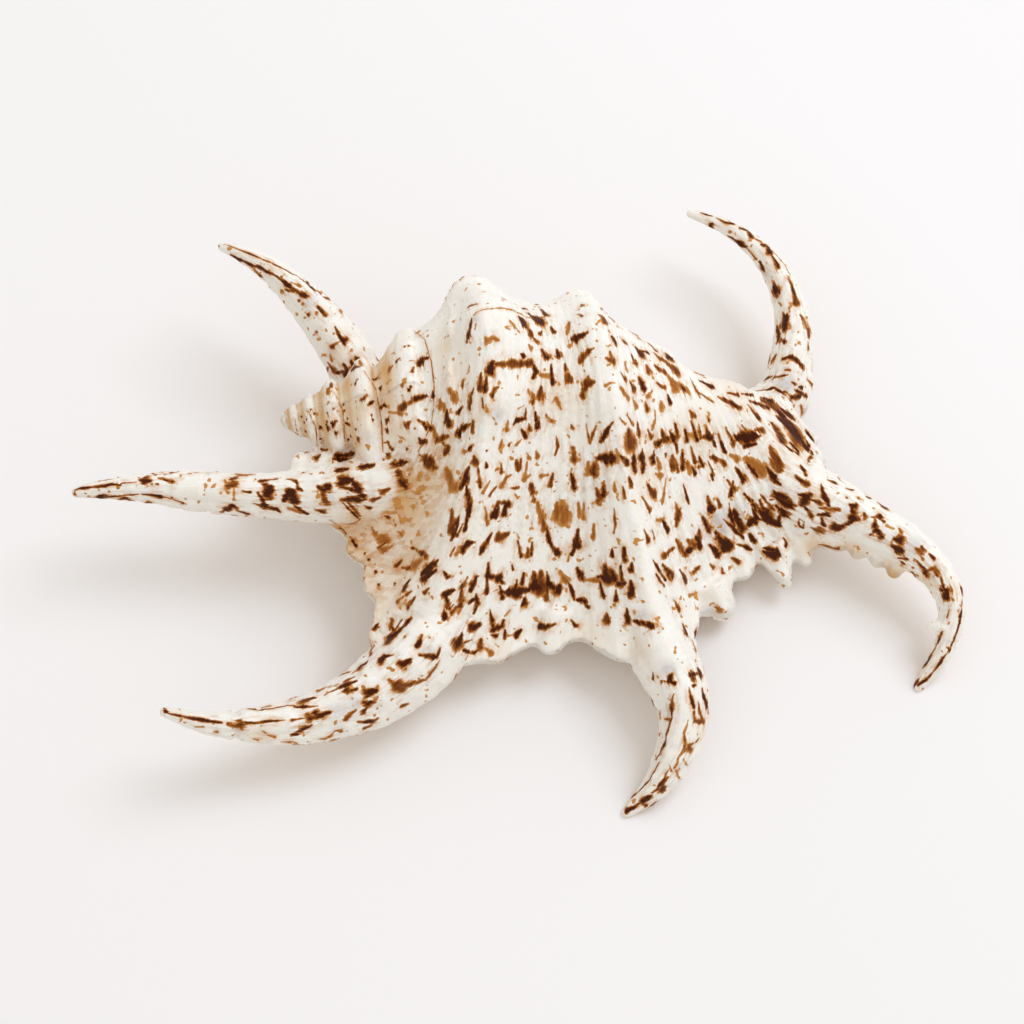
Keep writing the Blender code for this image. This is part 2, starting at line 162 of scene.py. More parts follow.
# The digits, from the one behind the spire round to the canal: middle line as x, y, z, radius.
DIGITS = (
    ((-20.0, -4.0, 10.0, 4.0), (-30.5, 10.0, 14.5, 5.2), (-35.9, 18.2, 19.5, 4.9),
     (-41.8, 25.0, 23.5, 4.0), (-48.6, 31.2, 26.0, 2.9), (-54.6, 35.0, 26.8, 2.0), (-60.4, 37.2, 27.0, 1.0)),
    ((-13.0, -7.0, 27.0, 4.0), (-25.0, -11.5, 24.5, 7.4), (-38.0, -13.2, 22.5, 5.9),
     (-46.5, -13.6, 22.0, 4.8), (-55.4, -13.4, 22.0, 4.2), (-65.0, -12.8, 22.8, 4.0),
     (-73.0, -12.6, 23.5, 3.0), (-81.0, -13.0, 24.0, 2.1), (-87.3, -13.8, 24.0, 1.2)),
    ((-9.0, -26.0, 16.0, 3.5), (-18.0, -41.0, 14.0, 7.8), (-27.0, -49.4, 12.5, 7.2),
     (-34.5, -53.8, 12.5, 5.9), (-43.0, -56.9, 13.5, 4.7), (-52.0, -58.4, 15.8, 3.5),
     (-60.5, -58.8, 19.0, 2.3), (-68.6, -57.6, 22.5, 1.1)),
    ((21.0, -24.0, 14.0, 3.0), (26.5, -40.0, 12.5, 6.4), (31.0, -51.0, 11.5, 5.6),
     (31.4, -57.5, 10.0, 4.6), (29.5, -63.0, 7.4, 3.9), (26.2, -68.0, 3.9, 2.8), (20.6, -72.6, 0.2, 1.3)),
    ((42.0, -3.0, 15.0, 4.0), (56.0, -10.5, 15.0, 6.4), (69.0, -16.8, 13.5, 4.9),
     (76.6, -21.4, 13.5, 4.2), (83.0, -27.7, 12.5, 3.3), (85.4, -34.2, 9.8, 2.7),
     (83.8, -41.0, 5.6, 2.2), (79.5, -47.0, 0.2, 1.3)),
    ((38.0, 5.0, 12.0, 3.0), (52.0, 10.0, 10.5, 5.6), (54.8, 18.0, 12.0, 4.4), (55.1, 27.0, 14.5, 3.5),
     (52.7, 35.0, 16.0, 2.9), (48.2, 41.4, 16.5, 2.3), (42.0, 46.2, 16.5, 1.7), (34.6, 49.4, 16.0, 1.0)),
)
DIGIT_SIDES = 48
DIGIT_STEPS = 10

# Across a digit: the height of its three keels and the seam below, as shares of its radius. The leans, in
# radians, are of the rings that round its tip.
KEEL = 0.09
KEELS = 3.0
SEAM_DEPTH = 0.16
SEAM_WIDTH = 0.3
TIP_LEANS = (0.35, 0.7, 1.0, 1.3)

# Small lobes on the lip's edge, and the scallops on the inner edge of the right digit: root x, y, z,
# radius and tip x, y, z, radius.
LOBES = (
    ((50.0, -19.0, 9.0, 4.4), (53.2, -27.0, 5.2, 1.3)),
    ((55.0, -18.0, 9.0, 3.2), (57.0, -22.6, 7.0, 1.5)),
    ((6.5, -34.0, 12.0, 5.0), (5.6, -40.0, 9.8, 3.0)),
    ((37.0, -27.0, 8.0, 5.0), (40.0, -31.5, 5.0, 3.2)),
    ((84.0, -38.0, 9.0, 2.0), (81.6, -36.8, 8.5, 1.4)),
    ((-36.0, -8.5, 23.0, 5.0), (-43.0, -7.4, 22.5, 2.6)),
    ((34.0, -25.0, 8.0, 4.0), (36.4, -31.6, 5.5, 2.4)),
    ((60.0, -15.0, 11.0, 2.5), (59.4, -18.3, 10.0, 2.0)),
    ((64.0, -17.0, 11.0, 2.5), (63.3, -20.0, 10.0, 1.9)),
    ((68.0, -18.5, 11.0, 2.5), (67.2, -21.6, 10.0, 1.9)),
    ((72.0, -20.5, 11.0, 2.2), (71.0, -23.4, 10.0, 1.8)),
    ((75.5, -23.5, 11.0, 2.0), (74.2, -25.8, 10.2, 1.7)),
)

# Scars: a groove round a digit where it broke and grew on, as digit number, way from its tip, width and
# depth.
SCARS = ((1, 27.0, 0.7, 0.45), (2, 15.5, 0.9, 0.7), (4, 13.0, 0.8, 0.4))

# Scallops all along the lip: their depth, and waves for each flow line.
SCALLOP_DEPTH = 0.9
SCALLOP_WAVES = 1.7

# The mouth, cut from below: x, y of the slot's middle, top z, half width of slot and hollow, and turn of the
# curl in degrees.
MOUTH = (
    (-33.0, -11.0, 12.0, 1.2, 1.2, 20.0),
    (-22.0, -9.5, 22.0, 3.0, 3.4, 50.0),
    (-6.0, -9.0, 38.0, 4.2, 6.2, 98.0),
    (12.0, -8.5, 36.0, 4.5, 6.2, 98.0),
    (28.0, -5.5, 26.0, 4.2, 4.8, 88.0),
    (42.0, 0.0, 15.0, 3.2, 3.2, 45.0),
    (54.0, 7.0, 8.0, 2.2, 2.0, 20.0),
)

# The hollow's rows for each gap, the depth of its slot below the floor, the radius of its curl as a share of
# its top, the curl's first angle and points, its width at the end, and where along its section it widens.
MOUTH_STEPS = 8
SLOT_DEPTH = 6.0
CURL_SHARE = 0.45
CURL_START = -20.0
CURL_POINTS = 16
CURL_END = 0.55
MOUTH_WIDENS = (0.0, 0.25, 0.6, 1.0)

# The block that trims the flat resting spots, and how near the floor the points of a flat face are.
FLOOR_SIDE = 300.0
FLOOR_DEPTH = 20.0
FLAT_GAP = 0.001

# Skin this near to the mouth's hollow is the mouth's own, and that fades over the second distance.
MOUTH_SKIN = 0.8
MOUTH_FADE = 0.5

# A form's hold on the skin fades between these distances from it, in mm, and a digit's between these
# shares of its radius, and between one and two of these lengths from its root. Past the last share the
# skin is the digit's.
WHORL_HOLD = (0.6, 2.2)
SPIRE_HOLD = (0.8, 2.4)
DIGIT_HOLD = (1.12, 1.45)
DIGIT_ROOT = 6.0
DIGIT_HELD = 0.6

# ---- The camera, the fine relief and the skin ----

# The camera, as the picture was taken: it looks along +Y and down, at a point of the shell.
VIEW_TARGET = np.array((-2.08, -4.8, 20.0))
VIEW_ELEVATION = 72.0
VIEW_DISTANCE = 520.0
VIEW_FOCAL = 2641.6
FRAME_PIXELS = 1024
SENSOR_WIDTH = 36.0

# The cords: how many there are for each flow line, how far they wander off it, the share that every
# eighth cord stands above the rest, its width in pairs of flow lines, and the share that is left behind
# the crest.
CORDS_PER_ROW = 4.0
CORD_WANDER = 0.05
STRONG_CORD = 0.8
STRONG_WIDTH = 0.09
CORDS_BEHIND = 0.3

# The growth steps: spacing, wander and width in mm.
GROWTH_STEP = 11.0
STEP_WANDER = 2.0
STEP_WIDTH = 0.5

# The spire's cords for each whorl and axial lines for each turn, with their heights.
SPIRE_CORDS = 5.0
SPIRE_CORD_HEIGHT = 0.10
AXIAL_LINES = 60.0
AXIAL_HEIGHT = 0.06

# The bay beside the spire: cords for each flow line and growth lines in radians for each mm, their
# height, and where the bay ends, in flow lines and in mm from the crest.
BAY_CORDS = 6.0
BAY_GROWTH = 3.2
BAY_HEIGHT = 0.12
BAY_ROWS = (1.6, 2.6)
BAY_WAY = (12.0, 19.0)

# The digits: height of the keel and its width in radians, depth, width and place of the groove at each
# side of it, and height of the lumps.
KEEL_HEIGHT = 0.12
KEEL_WIDTH = 0.42
GROOVE_DEPTH = 0.22
GROOVE_WIDTH = 0.16
GROOVE_ANGLE = 0.95
LUMP_HEIGHT = 0.14

# The relief grows from nothing to its full height between these heights above the floor.
RELIEF_HEIGHTS = (0.3, 2.5)

# The waves of a wander: slowest and fastest pace, range of their starts, and the size that is taken as 1.
WAVE_PACES = (0.6, 1.7)
WAVE_STARTS = 6.3
WAVE_SIZE = 1.6

# The skin: smoothing turns before and after the mouth is cut, for a skin of the coarse size.
SKIN_COARSE = 0.8
SMOOTH_FUSED = 2.4
SMOOTH_CUT = 1.6

# ---- The marks, the mouth's ridges, the glaze and the light ----

# Strokes: longest straight run and length of a dot in pixels, widest jump over an edge in mm, how far
# past its width a stroke reaches, how much a face must look the stroke's way, and how many strokes a face
# can carry.
RUN_PIXELS = 10.0
DOT_PIXELS = 0.5
RUN_JUMP = 5.0
STROKE_MARGIN = 1.0
STROKE_FACING = 0.05
STROKE_LAYERS = 3

# A stroke is drawn this many times as wide as read, and this much wider again in mm. On skin that slants
# away it widens, up to where this share of its width shows. A long one narrows to the last share at its
# ends.
STROKE_GROWTH = 1.15
STROKE_SPREAD = 0.03
STROKE_SLANT = 0.4
STROKE_END = 0.45

# A stroke is this share of its width at its upper end, and this share at its lower end, like a flame.
STROKE_TOP = 0.5
STROKE_FOOT = 1.25

# Where a stroke's darkness, its cover and its orange wash begin and are full, in shares of its soft edge.
STROKE_FADES = ((-0.15, 1.15), (-0.5, 0.12), (-4.0, -0.3))

# A stroke's edge is torn in full where its radius is this large, and it is soft over this share of its
# radius and this much more, in mm.
TORN_RADIUS = 0.9
SOFT_SHARE = 0.5
SOFT_LEAST = 0.15

# Guessed strokes: their seed, spread off the grain, and shortest and longest length and radius in mm.
# Skin that looks down more than this is the underside.
WILD_SEED = 29
WILD_SPREAD = 0.35
WILD_LENGTH = (0.6, 2.6)
WILD_RADIUS = (0.25, 0.75)
UNDERSIDE = -0.3

# The mouth's ridges stand between these places along it, in mm, and this far above its edge, which is
# looked for this far beside the slot.
RIDGE_START = -18.0
RIDGE_END = 40.0
RIDGE_RISE = 3.6
EDGE_BESIDE = 0.5

# The grain: streaks for each mm along it, and streaks side by side for each flow line, whorl, radian of
# the spire and mm of a digit's radius. The offsets keep the three forms' patterns apart.
STREAK_SHARE = 0.22
STREAKS_PER_ROW = 9.0
STREAKS_PER_WHORL = 10.0
STREAKS_PER_RADIAN = 4.0
STREAKS_PER_MM = 1.1
SPIRE_OFFSET = 20.0
DIGIT_OFFSET = 30.0

# The tan zones: strength, place and width of the spire's ramps, the same of the bay, its start in mm from
# the crest, and the strength below.
RAMP_TAN = (0.9, 0.28, 0.2)
BAY_TAN = (0.8, 1.2, 1.1)
BAY_TAN_WAY = (14.0, 24.0)
UNDER_TAN = 0.7

# Spots tint skin that looks their way, and fade out between these cosines. Grey ones have this strength.
SPOT_FACING = (-0.2, 0.3)
GREY_SPOT = 0.7

# Patterns of the glaze for each metre: clouds of 11 mm, torn edges of 0.9 mm and specks of 1.6 mm. The
# streaks and the fine lines are for each step of the grain.
CLOUD_SCALE = 90.0
TORN_SCALE = 1100.0
SPECK_SCALE = 620.0
STREAK_SCALE = 1.1
LINE_SCALE = 2.6

# A face without a stroke has it this far away, in metres, and a line of sight starts this far off the
# skin, in mm.
NO_STROKE = 9.0
SIGHT_GAP = 0.5

# How far the torn edges and the streaks move a mark's edge, from lowest to highest, in mm.
TORN_REACH = 0.9
STREAK_REACH = 2.4

# The large soft light: its size, place and colour.
KEY_SIZE = 0.60
KEY_PLACE = (0.62, 0.50, 1.06)
KEY_COLOUR = (0.80, 0.88, 1.0)

# Soft spots of a bluish shade under the glaze, and soft tan spots: x, y, radius in pixels and strength.
GREY_SPOTS = (
    (722, 524, 17, 0.7), (740, 512, 12, 0.4), (786, 384, 13, 0.8), (798, 389, 8, 0.6), (475, 319, 5, 0.6),
    (500, 415, 8, 0.5), (668, 669, 8, 0.6), (668, 712, 6, 0.6), (641, 616, 9, 0.5), (309, 301, 9, 0.6),
    (340, 709, 9, 0.5), (357, 703, 8, 0.5), (338, 731, 6, 0.4), (851, 513, 9, 0.5), (915, 544, 10, 0.5),
    (936, 571, 7, 0.4), (697, 706, 6, 0.5), (677, 767, 5, 0.5), (766, 275, 6, 0.5), (778, 296, 5, 0.5),
    (385, 655, 6, 0.5), (430, 652, 8, 0.5), (432, 672, 6, 0.4), (326, 498, 6, 0.4), (663, 572, 8, 0.4),
    (804, 412, 8, 0.7),
)
TAN_SPOTS = (
    (362, 520, 20, 0.9), (384, 540, 22, 1.0), (402, 562, 16, 0.9), (420, 562, 16, 0.8),
    (372, 556, 12, 0.5), (400, 600, 14, 0.5), (412, 520, 20, 0.5), (355, 420, 24, 0.7),
    (395, 425, 22, 0.7), (330, 425, 14, 0.6), (345, 470, 16, 0.3), (232, 484, 10, 0.7),
    (815, 546, 14, 1.0), (835, 552, 12, 1.0), (850, 548, 14, 0.9), (868, 560, 14, 1.0),
    (890, 575, 14, 1.0), (928, 582, 10, 0.6), (790, 440, 24, 0.3), (735, 395, 22, 0.4),
    (700, 430, 26, 0.35), (640, 470, 26, 0.3), (560, 400, 30, 0.3), (480, 400, 20, 0.35),
    (450, 375, 18, 0.45), (445, 345, 16, 0.4), (640, 650, 14, 0.4), (590, 640, 16, 0.35),
    (500, 650, 16, 0.35), (335, 355, 9, 0.5), (346, 385, 12, 0.5), (270, 270, 8, 0.3),
    (262, 735, 12, 0.35), (702, 735, 10, 0.4), (800, 440, 12, 0.5), (815, 390, 10, 0.35),
    (660, 360, 14, 0.4),
)

# How dark each tone letter is: dark, medium brown and orange.
TONES = {"d": 1.15, "m": 0.72, "o": 0.3}

# The strokes as read from the picture, region by region. Each has a tone letter and its width in pixels,
# then its points in pixels, across and down.
CREST_STROKES = """
d7 489,372 493,362; m9 494,364 522,364; m6 522,363 530,364; d6 532,362 536,372 533,378
d4 472,318 470,328 467,342; d2 468,307 477,304; o1.5 474,315 482,310 500,308 513,310 530,318
o5 488,341 492,338 498,340; o3 510,321 514,326; o1.5 514,326 519,332; d4 520,318 524,323; d4 524,308
d2 528,301; d3 536,304; d5 530,315 538,320; d4 541,309 546,315; o3 538,318 545,317; m3 527,327 531,334
m3 533,337 537,342; d3 540,334 542,331; d4 551,327 554,332; d5 542,350 546,357; d5 557,350 559,355
o3 529,345 531,348; d3 521,354 524,356; o4 565,328 569,323 567,334; m3 578,314 582,316; m3 581,304 582,306
d6 574,339 580,336 587,333; o3 573,342 570,346; m7 580,362 586,353 594,348; m3 565,364 566,370
m6 567,373 569,379; o5 540,375 552,376; d4 551,365 553,382; m5 541,388 540,396; o4 528,390 534,398
m3 532,402 538,396; m5 582,396 586,384; m7 586,384 594,382; m3 588,376 588,381; m5 606,358 613,361
m3 610,352 612,360; o2 605,386 610,383 615,383; d4 612,337 616,343; m5 600,315 606,322; m4 609,317 613,320
d3 622,322 625,326; o3 552,403 556,398 561,409; m3 546,415 551,421; d4 526,408 525,418 517,420 514,424
o3 508,421 507,430; d5 536,413 538,427; m3 529,424 530,430; d4 522,430 525,437; o1.5 522,439 516,445
m3 571,425 572,428; m2.5 586,424 590,443 596,426; d6 601,442 607,430 613,422; m7 573,448 575,459
m3 555,455 558,446 556,436; o3 528,455 529,458; o4 536,452 537,456
"""
SHOULDER_STROKES = """
d5 420,363 423,359 428,358; m3 412,372 414,367; d5 416,399 427,396; m6 401,408 411,402
d2.5 433,391 433,396; o4 440,400 441,406; o4 443,403 444,409; d6 447,411 448,423; d3 458,413 463,406
m5 470,408 471,395 474,388; m5 480,388 481,374; d4 486,390 487,375; o5 450,390 455,398; m3 462,386 463,380
m2.5 482,398 483,407; o2 486,405 487,411; m4 492,395 495,389 498,387; d5 459,434 463,424
d5 463,428 470,424; m4 473,421 472,431; d4 430,428 427,422; o4 433,426 436,437; m6 438,440 448,436
m5 443,443 448,447 446,452; d4 420,440 424,442; m7 420,455 436,468; d4 469,449 472,446; o3 465,452 469,450
m5 474,457 475,463; d2 486,450; d2.5 486,462 487,467; o3 502,440 500,447; m2 509,445 511,442
o3 510,457 512,459; m5 516,460 518,469; m3 521,459 520,468
"""
MIDDLE_STROKES = """
o7 447,470 452,486; d9 469,467 464,480 460,488; d7 466,484 469,500 468,515; d3.5 467,515 465,530
m7 452,512 452,530; d5 459,516 456,530 451,540; d3 463,524 457,536; d5 478,467 479,476 480,487
d2 455,547 450,556; d6 463,549 468,543 474,542; o2 456,554 461,550; d5 480,554 485,544 492,533
m7 499,537 508,534; o2.5 485,507 487,524; d6 496,514 499,502; d5 505,502 504,514; d6 498,503 506,504
m3 490,495 496,487; o2 483,493 490,481; o3 502,486 506,478 511,475; m3 511,488 518,488; o2 515,494 518,498
o2 496,470 502,468; m3 501,463 502,472; o3 525,478 527,462; o3 524,480 530,475; m6 530,484 533,492
m3 533,492 534,502; o3 542,476 548,475; m4 550,486 553,474; d5 571,474 575,488; o6 537,503 541,518
m5 543,520 545,528; d4 547,528 549,541; d6 549,541 557,553; o6 557,503 556,518; o9 563,501 565,520
o3 566,522 568,527; o4 578,503 580,516; o3 584,503 583,518; d3.5 518,541 521,556; m4 528,548 528,556
d3.5 532,542 531,554; d6 578,530 577,545; d3 576,545 572,554; o2 569,556 568,561; o4 594,524 593,538
d5 604,481 603,495; m5 597,490 600,498 598,503; m7 594,472 597,460; o4 588,462 588,474
d10 597,458 611,459; o2.5 614,482 615,491; m3 614,508 615,525 614,533; m2.5 623,487 625,498
m4 629,478 631,486; d3 612,549 612,556; d5 624,548 625,560; d4 632,563 632,570; d2 512,565 513,570
"""
BAND_STROKES = """
d4 488,563 488,576; d8 488,576 498,578; d4 487,578 487,593; d4 498,577 503,583; d4 500,586 503,598
d9 502,592 516,593; d4 515,592 517,580; d9 518,592 528,590; d4 524,573 522,584; d6 524,598 525,603
d8 534,572 534,586; m9 541,572 541,590; d4 547,572 548,584; m4 548,584 546,600; d8 549,583 557,590
o6 560,571 566,580; d4 567,580 573,592 574,600; o4 532,592 545,596; d6 577,568 582,578; o4 583,580 598,580
d6 598,577 606,578; d9 605,567 609,578; d3 600,582 603,596; d6 577,600 584,601; d3 584,603 588,607
d4 621,566 622,580; d6 618,585 625,583; d3.5 616,590 616,600; d6 631,581 631,595
d5 541,627 549,626 555,624; m5 607,614 607,620; d5 627,609 628,622; d6 634,621 652,626; d3 571,620 576,626
o2 613,604; d7 471,590 476,578 479,576; d5 476,594 477,604 474,613; d4 470,602 477,598; m4 463,586 467,577
m4 462,588 460,600; d6 444,594 454,590; d6 446,596 448,606; d5 444,610 444,617; m7 452,613 460,606 462,598
d8 472,627 480,624; d4 490,610 492,620 493,632; d5 493,630 502,626 504,620; d4 491,635 496,636
o1.5 505,616 510,610; o2.5 506,636 514,634; d5 516,635 521,630; d3 505,630 505,638; d8 458,642 461,636
m2 463,643 472,640; d4 463,650 474,653 479,649; m5 481,640 480,647; o4 485,648 492,654
d6 420,655 437,657 440,648; d4 422,635 418,645; d4 444,572 448,577
"""
RIDGE_STROKES = """
m3 620,337 626,343; d5 630,341 634,334; d2.5 632,332 640,339; d3 632,355 635,363; d4 636,348 641,354
d3 640,351 648,353; o3 625,363 627,370; m3 621,373 625,379; m4 630,382 633,388; d4 639,378 643,389
o4 621,388 628,399; o3 633,400 636,407; m4 646,365 649,372; m4 655,366 664,372; d2 648,343 655,350
m2 653,352 660,359; m5 662,359 676,371; d4 666,354 670,358; m3 657,383 664,388; o3 648,396 652,391
o3 655,410 655,420 652,430; m3 645,402 647,410; o4 661,402 662,407; o5 668,376 676,388; o6 672,381 686,390
d3 681,385 685,391; d3.5 668,395 671,403; d3 700,381 712,387; m2 690,378 700,398; m2 695,390 713,402
m4 718,397 734,405; d3 723,398 740,408; d3 728,393 738,395; d3 742,394 752,395; m4 690,411 693,416
m2 707,416 709,421; m2 620,418 625,424; m2.5 627,415 633,425; m4 637,423 639,434; m4 648,430 651,437
m6 629,430 632,443; d5 658,444 662,440; m5 662,430 664,440; m6 664,438 674,438; d4 670,432 673,440
m3 675,440 677,452; m4 675,424 678,437; d4 685,430 687,441; o6 687,434 694,436; d3.5 691,421 697,440
m3 699,425 701,438; d5 701,437 713,437; m3 706,426 708,437; d4 709,432 715,444; d3 718,434 725,452
m4 726,428 733,444; d12 738,438 760,436; d3 742,425 748,434; d4 745,446 756,444; m5 755,430 763,430
"""
FAN_STROKES = """
o4 616,449 618,457; d5 621,456 627,463; d6 633,450 636,472; d6 643,450 643,472; d4 654,452 653,463
o5 657,458 659,468; o5 656,474 661,476; d3 665,454; m6 672,456 674,468; m3 676,460 678,472
d5 682,450 683,468; o6 687,462 691,470; d3 692,466 695,474; m3 691,446 695,462; d4 699,457 702,465
d4 708,461 712,470 713,480; m5 710,457 716,459; m4 718,458 724,464; o5 730,455 738,459
o12 746,458 760,470; d5 745,461 758,477; d5 735,468 744,480; m12 770,448 780,470
d6 766,466 772,476 780,484; m5 796,476 806,484; d2.5 801,465 806,475; d4 727,480 736,490
d4 733,482 730,496; d4 744,494 752,502; d6 708,497 712,510; m3 717,499 720,507; d3 683,484 689,504
m5 675,502 678,512 676,526; m4 642,497 650,510; m6 648,485 654,495; o3 666,478 664,494 662,504
o4 657,520 662,520; d4 662,520 668,530; m3 644,530 648,540; m2 652,530 654,537; d6 702,517 710,530
d4.5 729,503 731,516 735,526; d5 723,519 737,532 744,538; d4 752,508 756,516; d8 748,525 756,517 762,520
d6 750,534 754,540; d5 760,500 764,514; m4 760,494 774,510; d7 770,500 780,500 796,506; d5 776,506 786,514
d6 764,520 778,524 780,514; d11 799,495 808,496 801,505; d4 804,506 812,516; m4 812,500 820,504
d5 821,484 824,495 829,506; m4 820,508 838,510; d5 818,515 826,515; d4 821,518 824,526; d8 836,528 842,526
d2 799,519 804,522 803,528 799,525 799,519; d4 653,560 665,580; d3 656,574 664,586; d6 663,565 672,576
m5 664,556 674,548; m6 676,540 684,552; d7 686,552 692,548; m7 688,540 694,545; d5 699,532 700,546
d5 680,570 686,580; m4 694,572 700,566; d6 710,545 718,555; d12 717,537 727,545; m4 732,558 738,562
d4 736,544 746,547 752,550; d7 764,552 774,555; d4 774,542 779,556; d4 783,538 786,545; m3 710,564 713,568
m2.5 722,568 723,573; o4 729,567; o3 689,596 694,594; o4 716,607 720,610; o2 697,608; m3 674,600 679,610
d4 683,625 686,633; d2 653,673 653,679; m3 661,681; d8 734,512 742,530; d8 716,532 726,548
d8 752,504 768,516; d7 776,494 790,504; d5 764,548 772,550; m8 770,446 780,468
"""
CANAL_STROKES = """
d5 750,401 768,408; d5 762,398 772,402; m4 748,405 758,418; d6 779,408 788,414 794,420
d6 776,416 784,424 794,434 802,438; d5 772,424 782,438; d4 790,443 798,450; d3 786,446 797,454
d4 806,430 812,440; d4 806,440 812,452 808,464; d5 783,359 792,357 797,361; d5 797,362 803,367
m2 785,370 790,370; d2.5 766,379 773,376; d3 774,378 782,376 788,375; d3 792,382 795,384
d3 799,387 802,388; m2.5 807,379 812,385; d5 784,392 792,398 800,396; d4 795,390 806,396
d3 755,391 765,390 775,388 784,394 792,402; m2.5 772,362 776,355; d2.5 687,213 687,218
d2 696,211 702,213 712,216; d3 716,218 724,222 734,224; d4 740,228 748,231 751,237; m1.5 752,237 761,242
d5 762,244 768,247 770,252; d4 771,255 776,262 778,267; m1.5 770,248 785,265 790,275
d2.5 688,216 694,220 700,224 706,224; d5 710,224; d8 778,410 786,424; d9 786,420 796,436
d8 798,432 806,448; m9 762,400 776,408; d3 706,225 712,229 720,234; m3 720,234 726,236
d4 728,236 736,241 746,247; m1.2 746,247 756,259; o2 729,231; d4 760,262 762,268; d4 758,268 761,280
d3.5 774,283 776,290; m3 776,290 777,296; d3.5 788,278 792,285 794,293; m5 794,291 796,302
o3 796,300 799,303; d5 769,293 775,297 772,305; o3 773,305 773,312; o2 779,303 781,305
d6 783,314 785,319 784,325; m6 800,315 804,320 808,330; m3 807,328 809,336; d4 777,327 779,334 778,341
d4 779,338 784,342; m2 808,342 808,349; m5 801,406 802,412 807,419
"""
# The spire's first seven thin strokes, along its sutures, are painted shade in the suture grooves; the dots
# and strokes after them are brown marks.
SPIRE_STROKES_AND_SUTURE_SHADE = """
m1 415,331 425,340 431,361 434,383 434,405; m1 434,405 431,425 424,441 418,452
m1 364,371 376,389 381,417 383,452; m0.9 334,392 343,411 345,447; m0.9 307,408 316,428 317,446
m0.8 295,418 298,438; d2 304,422; d2 306,419; d2 305,431; d2 306,439; d2 301,416; d2.5 310,409; d2 314,413
d2.5 320,426; d2 320,438; d2.5 327,413; d2 326,421; d2.5 333,408; d2 343,404; d2.5 344,410; d2 347,418
d2.5 348,439; d2 350,436; d2 355,429; d2.5 357,437; d2.5 371,415; d2 372,419; d2 394,353; d2.5 404,346
d2 408,345; d2 408,389; d2 410,386; d4 332,424 337,421; d3 326,425 328,428; d3 335,432; d3 346,423 349,425
d2 355,384 358,379; d4 363,400 367,395; d2.5 369,404 374,401; d2.5 372,379 378,377; d4 379,388 381,388
d3 381,408 384,405 387,407; d5 386,420; d4 386,430; d2 384,443 388,442 392,449; d5 387,454; d3 383,459
o4 389,370 393,366; d2.5 396,362 400,358; o2 402,385 406,379; o3 389,412 402,414; m5 406,425 410,422
m2 414,428; d5 419,420 428,427; d4 419,438 421,443; d3 424,440; d2 406,448; d6 394,464 407,462
m8 398,470 404,484; d5 400,480 405,486; d6 362,468 374,465; d7 332,461 352,458; d6 338,456 354,454
d4 338,470 348,469; d5 316,459 320,455; d3 306,452; d3 321,449 327,450; d2 323,473; d2 303,472
"""
FIRST_DIGIT_STROKES = """
d3 219,247 221,252; d3 220,249 223,253 231,255 240,260 248,264 258,267 268,272 276,276
d4 276,276 284,282 289,286; m4 288,286 297,291; d5 297,291 304,295; m3 285,290 294,291
d1.6 224,244 230,246 240,250 260,258 280,267 300,278; d3 300,279 307,283 312,287; d2.5 310,286 320,293
d2 312,284 321,290; m2.5 323,297 329,299; o2 248,265 254,268 259,275; m3 259,275; o3 281,290; d2.5 298,300
o2 302,303; o2.5 291,282 299,286; m3 281,276; d4.5 318,307 325,315; o3 316,312; m3 307,314; o2 304,317
d3 335,327 338,333; d5 338,333 341,338 345,341; o2 340,309 341,311; d2.5 316,331; o2 333,333
m3.5 332,347 335,344; o2 335,344 341,341; o2.5 351,349; o2.5 330,354 332,360; m3 328,363 333,370
d3 327,370 330,366; d7 344,365 349,370 346,376; d7 345,367 355,367; d4 353,368 363,366; d4 351,361 353,366
d3 337,373 344,371; o2.5 359,360 361,365; m3 331,383 331,386; o3 330,386 328,392
"""
LEFT_DIGIT_STROKES = """
d2 75,490 75,494; m1.5 85,493; d2.5 75,490 80,488 95,487 105,486 112,484 120,485 122,483 137,482
d8 141,480 145,480; d1.5 150,484 152,484; d1.5 155,484 158,484; d2.8 77,497 82,499 100,497 120,496 139,494
d2.5 142,494 160,496; m1 160,496 172,499 186,504; m1.5 171,497; d1.5 178,501 183,503; m1.2 100,481 112,479
m2 152,473 156,475; o2 158,478 163,479; d3 164,480 172,482; m2 160,472 166,474 178,472; o2 180,475
o2 190,473; o2 117,483 118,488; m2.5 92,500 98,501; m3 118,500 125,498 133,501; o2 140,503 150,504 156,508
m2 145,503 148,503; o2 200,508 200,512; o3 225,480 227,487; m5 228,486 236,484 232,480
m4 230,480 240,476 248,476; o3 237,474 246,475; o2 226,490 228,493; o2 234,487 234,499; d2 242,491 250,492
d3 222,512 226,510; d5 227,510 232,506 238,509; d2 236,510 248,514; d2.2 260,481 277,479
d8 264,485 271,487 268,495; d5 258,493 263,500 265,507; d3.5 253,503 262,507 276,509 280,512
d4 287,479 296,481 298,488 302,490; d8 284,500 290,492 295,500; d4 292,503 300,510 308,514
o3 288,508 300,512; d7 318,487 324,490 328,488; m6 322,492 326,502; d3 316,510 324,512; d9 342,482 352,480
d9 352,480 358,490 364,497; d4 340,487 352,489; d5 341,500 358,500; d3 342,502 358,518; m4 346,500 360,516
m4 373,501 380,497; m5 382,493 389,489; m3 352,524 360,519; m3 365,506 370,508; m3 385,516 388,517
"""
BAY_STROKES = """
o6 372,528 380,540; o5 380,535 386,540; m2 378,548 390,540; o5 383,550 392,546; m3 396,566 402,560
m4 402,568 410,568; o3 398,532 402,535; d2.5 364,553; d2.5 368,559; d2.5 375,571; d2.5 378,584
d2.5 394,583; d2.5 395,524; d2 330,520 335,523 346,534; d2.5 350,537 356,546; m5 412,548 426,556
o7 414,566 422,560; d9 422,573 438,560; d5 423,580 436,570; d4 404,588 410,580; d3 424,593 429,588
m3 397,602 404,596; m2.5 406,595 412,591; d3 408,607 413,600 415,597; d4 406,624 411,618
m4 388,612 392,620 390,630; d3.5 376,626 378,624; d6 390,638 398,632 404,626
"""
